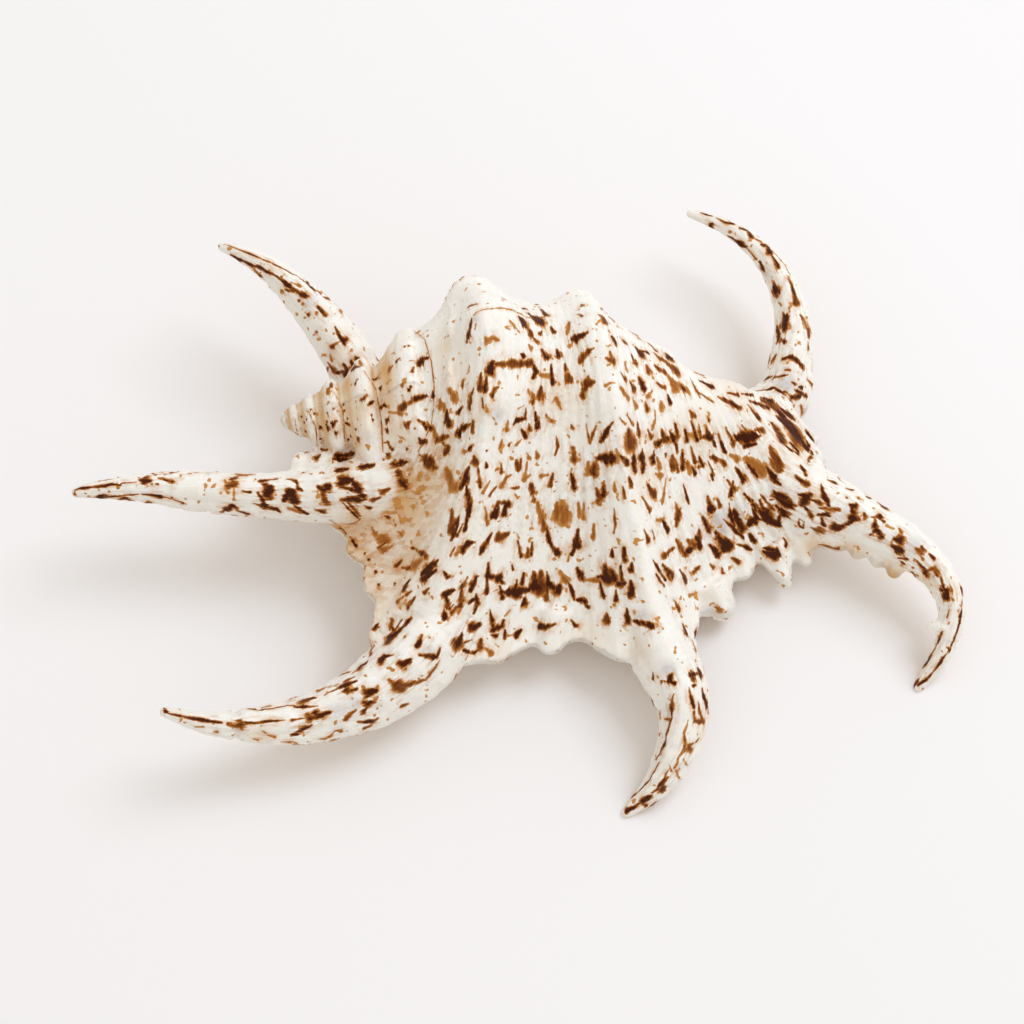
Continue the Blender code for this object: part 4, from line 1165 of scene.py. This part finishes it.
def cast_strokes(tree):
    """Each stroke as short straight runs on the skin: start, way, radius at both ends, tone and normal."""
    _, right, _, back = view_frame()
    pixel = VIEW_DISTANCE / VIEW_FOCAL
    runs = []
    for words in STROKES:
        tone, width, spots = read_stroke(words)
        if len(spots) == 1:
            spots.append((spots[0][0] + DOT_PIXELS, spots[0][1] + DOT_PIXELS))
        line = [spots[0]]
        for (x0, y0), (x1, y1) in zip(spots, spots[1:]):
            cuts = max(1, math.ceil(math.hypot(x1 - x0, y1 - y0) / RUN_PIXELS))
            line += [(x0 + (x1 - x0) * k / cuts, y0 + (y1 - y0) * k / cuts) for k in range(1, cuts + 1)]
        hits = [cast_pixel(tree, x, y) for x, y in line]
        if line[-1][1] < line[0][1]:
            line, hits = line[::-1], hits[::-1]
        shares = [k / (len(line) - 1) for k in range(len(line))]
        narrow = [STROKE_TOP + (STROKE_FOOT - STROKE_TOP) * share for share in shares]
        if len(line) > 3:
            narrow = [size * (STROKE_END + (1.0 - STROKE_END) * math.sin(math.pi * share) ** 0.5)
                      for size, share in zip(narrow, shares)]
        for k, ((start, normal), (end, _)) in enumerate(zip(hits, hits[1:])):
            if start is None or end is None or (end - start).length > RUN_JUMP * MM:
                continue
            way = end - start
            across = way.cross(normal)
            across = across.normalized() if across.length > 1e-9 else Vector(right)
            seen = math.sqrt(max(0.0, 1.0 - across.dot(Vector(back)) ** 2))
            radius = (0.5 * width * pixel * STROKE_GROWTH / max(seen, STROKE_SLANT) + STROKE_SPREAD) * MM
            runs.append((start, way, radius * narrow[k], radius * narrow[k + 1], TONES[tone], normal))
    return runs


def lay_strokes(data, runs, layers):
    """For each face of the mesh, its nearest runs, kept as attributes that the material draws them from."""
    count = len(data.polygons)
    centres = np.zeros(count * 3)
    data.polygons.foreach_get("center", centres)
    centres = centres.reshape(-1, 3)
    normals = np.zeros(count * 3)
    data.polygons.foreach_get("normal", normals)
    normals = normals.reshape(-1, 3)
    tree = KDTree(count)
    for index, centre in enumerate(centres):
        tree.insert(centre, index)
    tree.balance()
    gaps = np.full((layers, count), NO_STROKE)
    starts, ways, styles = (np.zeros((layers, count, 3)) for _ in range(3))
    starts[:] = NO_STROKE
    for start, way, first, last, tone, normal in runs:
        reach = 0.5 * way.length + max(first, last) + STROKE_MARGIN * MM
        near = np.array([index for _, index, _ in tree.find_range(start + 0.5 * way, reach)], int)
        near = near[normals[near] @ np.array(normal) > STROKE_FACING] if len(near) else near
        if not len(near):
            continue
        begin, run = np.array(start), np.array(way)
        share = np.clip((centres[near] - begin) @ run / max(run @ run, 1e-12), 0.0, 1.0)
        gap = np.linalg.norm(centres[near] - begin - share[:, None] * run, axis=1)
        gap -= first + (last - first) * share
        for layer in range(layers):
            closer = gap < gaps[layer, near]
            spot = near[closer]
            for lower in range(layers - 1, layer, -1):
                for array in (gaps, starts, ways, styles):
                    array[lower, spot] = array[lower - 1, spot]
            gaps[layer, spot] = gap[closer]
            starts[layer, spot] = begin
            ways[layer, spot] = run
            styles[layer, spot] = (first, last, tone)
            near = near[~closer]
            gap = gap[~closer]
    for layer in range(layers):
        keep_vectors(data, "stroke_start_%d" % layer, starts[layer], "FACE")
        keep_vectors(data, "stroke_way_%d" % layer, ways[layer], "FACE")
        keep_vectors(data, "stroke_style_%d" % layer, styles[layer], "FACE")


# ---- What a user can change ----


class ConchSizes(bpy.types.PropertyGroup):
    """Sizes of the shell's skin and relief."""

    skin_size: bpy.props.FloatProperty(
        name="Skin Size", description="Spacing of the skin's points, in mm", default=0.42, min=0.3, max=2.0)
    triangles: bpy.props.IntProperty(
        name="Triangles", description="Triangles that the finished skin keeps", default=190000, min=20000)
    ridge_spacing: bpy.props.FloatProperty(
        name="Ridge Spacing", description="Distance between the mouth's ridges, in mm", default=1.3)
    ridge_length: bpy.props.FloatProperty(
        name="Ridge Length", description="Length of the mouth's ridges, in mm", default=5.2)
    ridge_thickness: bpy.props.FloatProperty(
        name="Ridge Thickness", description="Half thickness of the mouth's ridges, in mm", default=0.45)
    cord_height: bpy.props.FloatProperty(
        name="Cord Height", description="Height of the cords along the flow lines, in mm", default=0.3)
    wild_above: bpy.props.FloatProperty(
        name="Marks Above", description="Guessed marks for each square mm unseen above", default=0.035)
    wild_below: bpy.props.FloatProperty(
        name="Marks Below", description="Guessed marks for each square mm of the underside", default=0.010)
    growth_height: bpy.props.FloatProperty(
        name="Growth Height", description="Height of the growth lines, in mm", default=0.035)


class ConchColours(bpy.types.PropertyGroup):
    """Colours of the shell, as sRGB hex values."""

    white: bpy.props.StringProperty(
        name="White", description="The palest porcelain, on the slope", default="#fcfaf4")
    cream: bpy.props.StringProperty(
        name="Cream", description="The warmer porcelain between the cords", default="#f9f2e4")
    # The tan also paints the shade in the groove of each suture.
    tan: bpy.props.StringProperty(
        name="Tan", description="Tan of the spire's ramps, the bay and the underside", default="#dcaa5c")
    orange: bpy.props.StringProperty(
        name="Orange", description="The fading edge of a mark", default="#9a5518")
    brown: bpy.props.StringProperty(
        name="Brown", description="The core of a mark", default="#451800")
    rust: bpy.props.StringProperty(
        name="Rust", description="The light orange wash beside marks", default="#d0924a")
    grey: bpy.props.StringProperty(
        name="Grey", description="The bluish shade where a mark lies under the glaze", default="#a09ba3")
    mouth: bpy.props.StringProperty(
        name="Mouth", description="The glaze inside the mouth", default="#d99a68")


class StageSizes(bpy.types.PropertyGroup):
    """Floor and light, with their colours as sRGB hex values."""

    floor_side: bpy.props.FloatProperty(
        name="Floor Side", description="Side of the floor", default=6.0, unit="LENGTH")
    floor_colour: bpy.props.StringProperty(
        name="Floor Colour", description="The pale paper of the floor", default="#f3f1f0")
    sky_colour: bpy.props.StringProperty(
        name="Sky Colour", description="The light from all round", default="#fcf8f3")
    key_power: bpy.props.FloatProperty(
        name="Key Power", description="Power of the large soft light", default=7.5, unit="POWER")
    sky: bpy.props.FloatProperty(
        name="Sky", description="Strength of the light from all round", default=0.805)


# ---- Materials ----


def stroke_masks(tree, place, ragged):
    """How dark, how covered and how washed with orange the skin is by all strokes that a face carries."""
    best = [None, None, None]
    for layer in range(STROKE_LAYERS):
        start = add_node(tree, "ShaderNodeAttribute", {"attribute_name": "stroke_start_%d" % layer})
        way = add_node(tree, "ShaderNodeAttribute", {"attribute_name": "stroke_way_%d" % layer})
        style = add_node(tree, "ShaderNodeAttribute", {"attribute_name": "stroke_style_%d" % layer})
        style = add_node(tree, "ShaderNodeSeparateXYZ", {}, {0: style.outputs["Vector"]})
        reach = add_node(tree, "ShaderNodeVectorMath", {"operation": "SUBTRACT"},
                         {0: place, 1: start.outputs["Vector"]})
        along = add_node(tree, "ShaderNodeVectorMath", {"operation": "DOT_PRODUCT"},
                         {0: reach.outputs[0], 1: way.outputs["Vector"]})
        whole = add_node(tree, "ShaderNodeVectorMath", {"operation": "DOT_PRODUCT"},
                         {0: way.outputs["Vector"], 1: way.outputs["Vector"]})
        share = add_node(tree, "ShaderNodeMath", {"operation": "DIVIDE", "use_clamp": True},
                         {0: along.outputs["Value"], 1: whole.outputs["Value"]})
        near = add_node(tree, "ShaderNodeVectorMath", {"operation": "SCALE"},
                        {0: way.outputs["Vector"], "Scale": share.outputs[0]})
        gap = add_node(tree, "ShaderNodeVectorMath", {"operation": "DISTANCE"},
                       {0: reach.outputs[0], 1: near.outputs[0]})
        radius = add_node(tree, "ShaderNodeMix", {"data_type": "FLOAT"},
                          {0: share.outputs[0], 2: style.outputs[0], 3: style.outputs[1]})
        depth = add_node(tree, "ShaderNodeMath", {"operation": "SUBTRACT"},
                         {0: radius.outputs[0], 1: gap.outputs["Value"]})
        torn = add_node(tree, "ShaderNodeMath", {"operation": "DIVIDE", "use_clamp": True},
                        {0: radius.outputs[0], 1: TORN_RADIUS * MM})
        depth = add_node(tree, "ShaderNodeMath", {"operation": "MULTIPLY_ADD"},
                         {0: torn.outputs[0], 1: ragged, 2: depth.outputs[0]})
        soft = add_node(tree, "ShaderNodeMath", {"operation": "MULTIPLY_ADD"},
                        {0: radius.outputs[0], 1: SOFT_SHARE, 2: SOFT_LEAST * MM})
        depth = add_node(tree, "ShaderNodeMath", {"operation": "DIVIDE"},
                         {0: depth.outputs[0], 1: soft.outputs[0]})
        for kind, (low, high) in enumerate(STROKE_FADES):
            mask = add_node(tree, "ShaderNodeMapRange", {"interpolation_type": "SMOOTHSTEP"},
                            {"Value": depth.outputs[0], "From Min": low, "From Max": high})
            if kind == 0:
                mask = add_node(tree, "ShaderNodeMath", {"operation": "MULTIPLY"},
                                {0: mask.outputs[0], 1: style.outputs[2]})
            if layer:
                mask = add_node(tree, "ShaderNodeMath", {"operation": "MAXIMUM"},
                                {0: mask.outputs[0], 1: best[kind].outputs[0]})
            best[kind] = mask
    return [mask.outputs[0] for mask in best]


def glazed_aragonite(colours):
    """Aragonite under a thin natural glaze: grown in layers, so finely lined, with a soft broad shine."""
    material = bpy.data.materials.new("glazed_aragonite")
    material.use_nodes = True
    tree = material.node_tree
    shader = tree.nodes["Principled BSDF"]
    place = add_node(tree, "ShaderNodeTexCoord").outputs["Object"]
    flow = add_node(tree, "ShaderNodeAttribute", {"attribute_name": "flow"}).outputs["Vector"]
    zones = add_node(tree, "ShaderNodeAttribute", {"attribute_name": "zones"}).outputs["Vector"]
    # The tan share also holds the painted shade in the groove of each suture.
    zones = add_node(tree, "ShaderNodeSeparateXYZ", {}, {0: zones}, "mouth, tan, grey")
    bay = add_node(tree, "ShaderNodeAttribute", {"attribute_name": "bay"}).outputs["Fac"]

    streaks = add_node(tree, "ShaderNodeTexNoise", {}, {
        "Vector": flow, "Scale": STREAK_SCALE, "Detail": 4.0, "Roughness": 0.62}, "streaks along the cords")
    clouds = add_node(tree, "ShaderNodeTexNoise", {}, {
        "Vector": place, "Scale": CLOUD_SCALE, "Detail": 3.0}, "clouds")
    torn = add_node(tree, "ShaderNodeTexNoise", {}, {
        "Vector": place, "Scale": TORN_SCALE, "Detail": 2.0, "Roughness": 0.6}, "torn edges")
    torn = add_node(tree, "ShaderNodeMath", {"operation": "MULTIPLY_ADD"}, {
        0: torn.outputs["Fac"], 1: TORN_REACH * MM, 2: -0.5 * TORN_REACH * MM})
    ragged = add_node(tree, "ShaderNodeMath", {"operation": "MULTIPLY_ADD"}, {
        0: streaks.outputs["Fac"], 1: STREAK_REACH * MM, 2: -0.5 * STREAK_REACH * MM})
    ragged = add_node(tree, "ShaderNodeMath", {"operation": "ADD"}, {
        0: torn.outputs[0], 1: ragged.outputs[0]})
    dark, cover, wash = stroke_masks(tree, place, ragged.outputs[0])

    warm = add_node(tree, "ShaderNodeMath", {"operation": "MULTIPLY_ADD", "use_clamp": True}, {
        0: streaks.outputs["Fac"], 1: 2.6, 2: -0.95}, "cream streaks")
    tan = add_node(tree, "ShaderNodeMath", {"operation": "MULTIPLY_ADD"}, {
        0: clouds.outputs["Fac"], 1: 1.8, 2: -0.2})
    tan = add_node(tree, "ShaderNodeMath", {"operation": "MULTIPLY", "use_clamp": True}, {
        0: tan.outputs[0], 1: zones.outputs[1]}, "tan zones in clouds")

    squares = add_node(tree, "ShaderNodeMapping", {}, {0: flow, 3: (0.85, 4.0, 1.0)})
    squares = add_node(tree, "ShaderNodeTexVoronoi", {"distance": "CHEBYCHEV"}, {
        "Vector": squares.outputs[0], "Scale": 1.0, "Randomness": 0.2}, "squares between cords and lines")
    squares = add_node(tree, "ShaderNodeSeparateXYZ", {}, {0: squares.outputs["Color"]})
    squares = add_node(tree, "ShaderNodeMapRange", {}, {
        "Value": squares.outputs[0], "From Min": 0.4, "From Max": 0.85})
    patches = add_node(tree, "ShaderNodeMapRange", {}, {
        "Value": clouds.outputs["Fac"], "From Min": 0.35, "From Max": 0.55, "To Min": 0.3, "To Max": 1.0})
    for share in (patches.outputs[0], bay):
        squares = add_node(tree, "ShaderNodeMath", {"operation": "MULTIPLY"}, {
            0: squares.outputs[0], 1: share})

    washed = add_node(tree, "ShaderNodeMapRange", {}, {
        "Value": streaks.outputs["Fac"], "From Min": 0.42, "From Max": 0.66, "To Max": 0.55})
    washed = add_node(tree, "ShaderNodeMath", {"operation": "MULTIPLY"}, {0: washed.outputs[0], 1: wash})
    specks = add_node(tree, "ShaderNodeTexNoise", {}, {"Vector": place, "Scale": SPECK_SCALE, "Detail": 1.0})
    specks = add_node(tree, "ShaderNodeMapRange", {}, {
        "Value": specks.outputs["Fac"], "From Min": 0.675, "From Max": 0.71})
    patchy = add_node(tree, "ShaderNodeMath", {"operation": "MULTIPLY"}, {0: streaks.outputs["Fac"], 1: 2.0})
    patchy = add_node(tree, "ShaderNodeMath", {"operation": "MULTIPLY"}, {
        0: patchy.outputs[0], 1: dark}, "cores lighter in streaks")
    mark = add_node(tree, "ShaderNodeValToRGB", {}, {0: patchy.outputs[0]}, "from edge to core")
    ramp = mark.color_ramp.elements
    ramp[0].color = linear(colours.rust)
    ramp[1].color = linear(colours.brown)
    ramp.new(0.4).color = linear(colours.orange)

    # The layers of colour, from the porcelain out: how much each covers, its colour and what it is.
    ground = add_node(tree, "ShaderNodeMix", {"data_type": "RGBA"}, {
        0: warm.outputs[0], 6: colours.white, 7: colours.cream}, "porcelain")
    layers = (
        # The tan zones include the painted shade in the groove of each suture.
        (tan.outputs[0], colours.tan, "tan zones"),
        (squares.outputs[0], colours.rust, "tinted squares in the bay"),
        (zones.outputs[2], colours.grey, "marks under the glaze"),
        (washed.outputs[0], colours.rust, "orange wash beside marks"),
        (specks.outputs[0], colours.rust, "small orange specks"),
        # The marks include the painted shade lines along the spire's sutures.
        (cover, mark.outputs[0], "marks"),
        (zones.outputs[0], colours.mouth, "mouth"),
    )
    for share, colour, label in layers:
        ground = add_node(tree, "ShaderNodeMix", {"data_type": "RGBA"}, {
            0: share, 6: ground.outputs[2], 7: colour}, label)
    tree.links.new(ground.outputs[2], shader.inputs["Base Color"])

    fine = add_node(tree, "ShaderNodeTexNoise", {}, {
        "Vector": flow, "Scale": LINE_SCALE, "Detail": 5.0, "Roughness": 0.7}, "fine lines")
    bump = add_node(tree, "ShaderNodeBump", {}, {
        "Height": fine.outputs["Fac"], "Strength": 0.6, "Distance": 0.45 * MM})
    tree.links.new(bump.outputs["Normal"], shader.inputs["Normal"])
    rough = add_node(tree, "ShaderNodeMapRange", {}, {
        "Value": streaks.outputs["Fac"], "From Min": 0.3, "From Max": 0.7, "To Min": 0.28, "To Max": 0.42})
    tree.links.new(rough.outputs[0], shader.inputs["Roughness"])
    shader.inputs["Specular IOR Level"].default_value = 0.12
    return material


def mouth_enamel(colours):
    """Smooth enamel of the mouth's ridges: thicker and shinier than the glaze outside, in a warm cream."""
    material = bpy.data.materials.new("mouth_enamel")
    material.use_nodes = True
    tree = material.node_tree
    shader = tree.nodes["Principled BSDF"]
    place = add_node(tree, "ShaderNodeTexCoord").outputs["Object"]
    cloud = add_node(tree, "ShaderNodeTexNoise", {}, {"Vector": place, "Scale": 300.0}, "clouds of 3 mm")
    mix = add_node(tree, "ShaderNodeMix", {"data_type": "RGBA"}, {
        0: cloud.outputs["Fac"], 6: colours.cream, 7: colours.mouth})
    tree.links.new(mix.outputs[2], shader.inputs["Base Color"])
    shader.inputs["Roughness"].default_value = 0.22
    return material


# ---- The mouth's ridges, the grain and the guessed marks ----


def mouth_edges(data):
    """Two lines of points, just inside the mouth, where its ridges stand."""
    tree = tree_of(data)
    edges = bmesh.new()
    for side in (-1.0, 1.0):
        last = None
        for x, middle, _, slot, _, _ in smooth_rows(MOUTH, MOUTH_STEPS):
            if not RIDGE_START < x < RIDGE_END:
                continue
            below = np.array((x, middle + side * (slot + EDGE_BESIDE), -SLOT_DEPTH)) + SHIFT
            spot, _, _, _ = tree.ray_cast(Vector(below) * MM, Vector((0.0, 0.0, 1.0)))
            if spot is None:
                continue
            inside = np.array((x, middle + side * slot, 0.0)) + SHIFT
            vert = edges.verts.new((inside[0] * MM, inside[1] * MM, spot.z + RIDGE_RISE * MM))
            if last is not None:
                edges.edges.new((last, vert))
            last = vert
    return edges


def ridge_tree(material):
    """Geometry nodes that stand one thin upright ridge at even steps along each line."""
    tree = bpy.data.node_groups.new("ridges", "GeometryNodeTree")
    tree.interface.new_socket("Geometry", in_out="INPUT", socket_type="NodeSocketGeometry")
    for name in ("Spacing", "Length", "Thickness"):
        tree.interface.new_socket(name, in_out="INPUT", socket_type="NodeSocketFloat")
    tree.interface.new_socket("Seed", in_out="INPUT", socket_type="NodeSocketInt")
    tree.interface.new_socket("Geometry", in_out="OUTPUT", socket_type="NodeSocketGeometry")
    given = add_node(tree, "NodeGroupInput")
    curve = add_node(tree, "GeometryNodeMeshToCurve", {}, {"Mesh": given.outputs["Geometry"]})
    steps = add_node(tree, "GeometryNodeResampleCurve", {"mode": "LENGTH"}, {
        "Curve": curve.outputs["Curve"], "Length": given.outputs["Spacing"]})
    ball = add_node(tree, "GeometryNodeMeshUVSphere", {}, {"Segments": 8, "Rings": 8, "Radius": 1.0})
    half = add_node(tree, "ShaderNodeMath", {"operation": "MULTIPLY"}, {0: given.outputs["Length"], 1: 0.5})
    size = add_node(tree, "ShaderNodeCombineXYZ", {}, {
        0: given.outputs["Thickness"], 1: given.outputs["Thickness"], 2: half.outputs[0]})
    uneven = add_node(tree, "FunctionNodeRandomValue", {}, {
        "Min": 0.7, "Max": 1.15, "Seed": given.outputs["Seed"]})
    size = add_node(tree, "ShaderNodeVectorMath", {"operation": "SCALE"}, {
        0: size.outputs[0], "Scale": uneven.outputs[1]})
    ridges = add_node(tree, "GeometryNodeInstanceOnPoints", {}, {
        "Points": steps.outputs["Curve"], "Instance": ball.outputs["Mesh"], "Scale": size.outputs[0]})
    real = add_node(tree, "GeometryNodeRealizeInstances", {}, {"Geometry": ridges.outputs["Instances"]})
    coated = add_node(tree, "GeometryNodeSetMaterial", {}, {"Geometry": real.outputs["Geometry"]})
    coated.inputs["Material"].default_value = material
    add_node(tree, "NodeGroupOutput", {}, {"Geometry": coated.outputs["Geometry"]})
    return tree


def flow_vectors(data, skin):
    """Where each corner of each face lies in its form's own grain, in widths and lengths of a streak.

    A face keeps to one form, so that no face spans the jump from one grain to the next.
    """
    corners = np.zeros(len(data.loops), int)
    data.loops.foreach_get("vertex_index", corners)
    starts = np.zeros(len(data.polygons), int)
    data.polygons.foreach_get("loop_start", starts)
    sizes = np.diff(np.append(starts, len(corners)))
    whorl = np.column_stack((skin.row * STREAKS_PER_ROW, skin.way * STREAK_SHARE, np.zeros(len(skin.row))))
    spire = np.column_stack((skin.place * STREAKS_PER_WHORL, skin.angle * STREAKS_PER_RADIAN,
                             skin.turn + SPIRE_OFFSET))
    girth = STREAKS_PER_MM * skin.girth
    digit = np.column_stack((girth * np.cos(skin.turned), skin.tip_way * STREAK_SHARE,
                             girth * np.sin(skin.turned) + DIGIT_OFFSET))
    flow = whorl[corners]
    for form, holds in ((spire, skin.spire > skin.whorl), (digit, skin.digit > DIGIT_HELD)):
        share = np.add.reduceat(holds[corners].astype(float), starts) / sizes
        held = np.repeat(share > 0.5, sizes)
        flow = np.where(held[:, None], form[corners], flow)
    return flow


def wild_strokes(data, skin, sizes):
    """Guessed strokes, as runs along the grain, where the camera of the picture doesn't see the skin."""
    dice = np.random.default_rng(WILD_SEED)
    eye, _, _, back = view_frame()
    tree = tree_of(data)
    weight = np.zeros(len(data.vertices))
    for face in data.polygons:
        weight[list(face.vertices)] += face.area / MM ** 2 / len(face.vertices)
    low = skin.normals[:, 2] < UNDERSIDE
    chance = weight * np.where(low, sizes.wild_below, sizes.wild_above) * (skin.mouth < 0.1)
    runs = []
    for index in np.flatnonzero(dice.random(len(chance)) < chance):
        place = Vector(skin.places[index] + SHIFT) * MM
        normal = Vector(skin.normals[index])
        sight = Vector(eye) * MM - place
        hit = tree.ray_cast(place + normal * SIGHT_GAP * MM, sight.normalized())[0]
        if hit is None and normal.dot(Vector(back)) > 0.2:
            continue
        grain = normal.cross(Vector((1.0, 0.0, 0.0)))
        if skin.digit[index] > DIGIT_HELD:
            grain = Vector(skin.grain[index])
        if grain.length < 0.05:
            continue
        way = grain.normalized() + Vector(dice.normal(0.0, WILD_SPREAD, 3))
        way -= normal * way.dot(normal)
        way = way.normalized() * dice.uniform(*WILD_LENGTH) * MM
        first, last = dice.uniform(*WILD_RADIUS, 2) * MM
        runs.append((place - 0.5 * way, way, first, last, dice.choice(list(TONES.values())), normal))
    return runs


def tan_and_suture_shade(skin):
    """Where the porcelain is tan: the spire's ramps, the bay beside the spire, and the lip's underside. Also
    painted shade: a thin tan line in the groove of each suture.
    """
    strength, middle, width = RAMP_TAN
    ramp = strength * skin.spire * (1.0 - 0.7 * skin.whorl) * np.exp(-((skin.place - middle) / width) ** 2)
    # Painted shade: a thin tan line in the groove of each suture, where shade falls.
    suture = skin.spire * np.exp(-(np.minimum(skin.place, 1.0 - skin.place) / SUTURE_WIDTH) ** 2)
    strength, middle, width = BAY_TAN
    bay = skin.whorl * np.exp(-((skin.row - middle) / width) ** 2) * smooth_step(*BAY_TAN_WAY, skin.way)
    under = smooth_step(0.0, 0.5, -skin.normals[:, 2]) * UNDER_TAN
    return np.clip(ramp + strength * bay + under + suture, 0.0, 1.0)


# ---- Operators and panel ----


class BuildShell(bpy.types.Operator):
    """Build the shell: its forms, its relief, its markings and its glaze"""

    bl_idname = "conch.build_shell"
    bl_label = "Shell"

    def execute(self, context):
        sizes = context.scene.conch_sizes
        shell, mouth = build_skin(sizes)
        carve(shell, mouth, sizes)
        shrink(shell, sizes)
        data = shell.data
        skin = Skin(data, mouth.data)
        bpy.data.objects.remove(mouth)
        keep_vectors(data, "flow", flow_vectors(data, skin), "CORNER")
        tree = tree_of(data)
        # The tan share holds the tan zones, the painted shade in the sutures' grooves and the tan spots.
        tan = np.maximum(tan_and_suture_shade(skin), cast_spots(tree, skin, TAN_SPOTS))
        grey = GREY_SPOT * cast_spots(tree, skin, GREY_SPOTS)
        keep_vectors(data, "zones", np.column_stack((skin.mouth, tan, grey)), "POINT")
        keep_values(data, "bay", bay_share(skin))
        lay_strokes(data, cast_strokes(tree) + wild_strokes(data, skin, sizes), STROKE_LAYERS)
        data.materials.clear()
        data.materials.append(glazed_aragonite(context.scene.conch_colours))
        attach(shell, "root")
        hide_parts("shell")
        return {"FINISHED"}


class BuildRidges(bpy.types.Operator):
    """Line both sides of the mouth with fine ridges, as guessed from the species"""

    bl_idname = "conch.build_ridges"
    bl_label = "Mouth Ridges"

    def execute(self, context):
        sizes = context.scene.conch_sizes
        shell = bpy.data.objects["chiragra_shell"]
        ridges = make_object("mouth_ridges", mouth_edges(shell.data))
        tree = ridge_tree(mouth_enamel(context.scene.conch_colours))
        grown = ridges.modifiers.new("ridges", "NODES")
        values = {"Spacing": sizes.ridge_spacing * MM, "Length": sizes.ridge_length * MM,
                  "Thickness": sizes.ridge_thickness * MM, "Seed": WILD_SEED}
        grown.node_group = tree
        for item in tree.interface.items_tree:
            if item.name in values:
                grown[item.identifier] = values[item.name]
        settle(ridges)
        if not len(ridges.data.polygons):
            raise RuntimeError("the mouth has no ridges")
        ridges.data.shade_smooth()
        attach(ridges, "root")
        return {"FINISHED"}


class BuildStage(bpy.types.Operator):
    """Lay the pale floor, and set the soft light and the camera"""

    bl_idname = "conch.build_stage"
    bl_label = "Stage"

    def execute(self, context):
        stage = context.scene.conch_stage
        plane = bmesh.new()
        bmesh.ops.create_grid(plane, size=0.5 * stage.floor_side)
        floor = make_object("floor", plane)
        # Uncoated paper: matt and even, so that it shows nothing but the soft shadows.
        paper = bpy.data.materials.new("matt_pale_paper")
        paper.use_nodes = True
        matt = paper.node_tree.nodes["Principled BSDF"]
        matt.inputs["Base Color"].default_value = linear(stage.floor_colour)
        matt.inputs["Roughness"].default_value = 0.9
        floor.data.materials.append(paper)

        world = bpy.data.worlds.new("soft_studio")
        world.use_nodes = True
        sky = world.node_tree.nodes["Background"]
        sky.inputs["Color"].default_value = linear(stage.sky_colour)
        sky.inputs["Strength"].default_value = stage.sky
        context.scene.world = world
        context.scene.view_settings.view_transform = "Standard"
        key = bpy.data.objects.new("key_light", bpy.data.lights.new("key_light", "AREA"))
        key.data.energy = stage.key_power
        key.data.size = KEY_SIZE
        key.data.color = KEY_COLOUR
        key.location = KEY_PLACE
        key.rotation_euler = (Vector((0.0, 0.0, 0.0)) - key.location).to_track_quat("-Z", "Y").to_euler()
        context.scene.collection.objects.link(key)

        eye, _, _, back = view_frame()
        camera = bpy.data.objects.new("camera", bpy.data.cameras.new("camera"))
        camera.location = eye * MM
        camera.rotation_euler = (-Vector(back)).to_track_quat("-Z", "Y").to_euler()
        camera.data.sensor_width = SENSOR_WIDTH
        camera.data.lens = VIEW_FOCAL / FRAME_PIXELS * SENSOR_WIDTH
        context.scene.collection.objects.link(camera)
        context.scene.camera = camera
        return {"FINISHED"}


class ConchPanel(bpy.types.Panel):
    """Sidebar panel of the conch"""

    bl_idname = "VIEW3D_PT_conch"
    bl_label = "Spider Conch"
    bl_space_type = "VIEW_3D"
    bl_region_type = "UI"
    bl_category = "Conch"

    def draw(self, context):
        for settings in (context.scene.conch_sizes, context.scene.conch_colours, context.scene.conch_stage):
            for name in settings.bl_rna.properties.keys():
                if name not in ("rna_type", "name"):
                    self.layout.prop(settings, name)
        for operator in OPERATORS:
            self.layout.operator(operator.bl_idname)


OPERATORS = (BuildShell, BuildRidges, BuildStage)
CLASSES = (ConchSizes, ConchColours, StageSizes) + OPERATORS + (ConchPanel,)


def register():
    for item in CLASSES:
        bpy.utils.register_class(item)
    bpy.types.Scene.conch_sizes = bpy.props.PointerProperty(type=ConchSizes)
    bpy.types.Scene.conch_colours = bpy.props.PointerProperty(type=ConchColours)
    bpy.types.Scene.conch_stage = bpy.props.PointerProperty(type=StageSizes)


def unregister():
    del bpy.types.Scene.conch_stage
    del bpy.types.Scene.conch_colours
    del bpy.types.Scene.conch_sizes
    for item in reversed(CLASSES):
        bpy.utils.unregister_class(item)


def main():
    register()
    bpy.ops.conch.build_shell()
    bpy.ops.conch.build_ridges()
    bpy.ops.conch.build_stage()


if __name__ == "__main__":
    main()
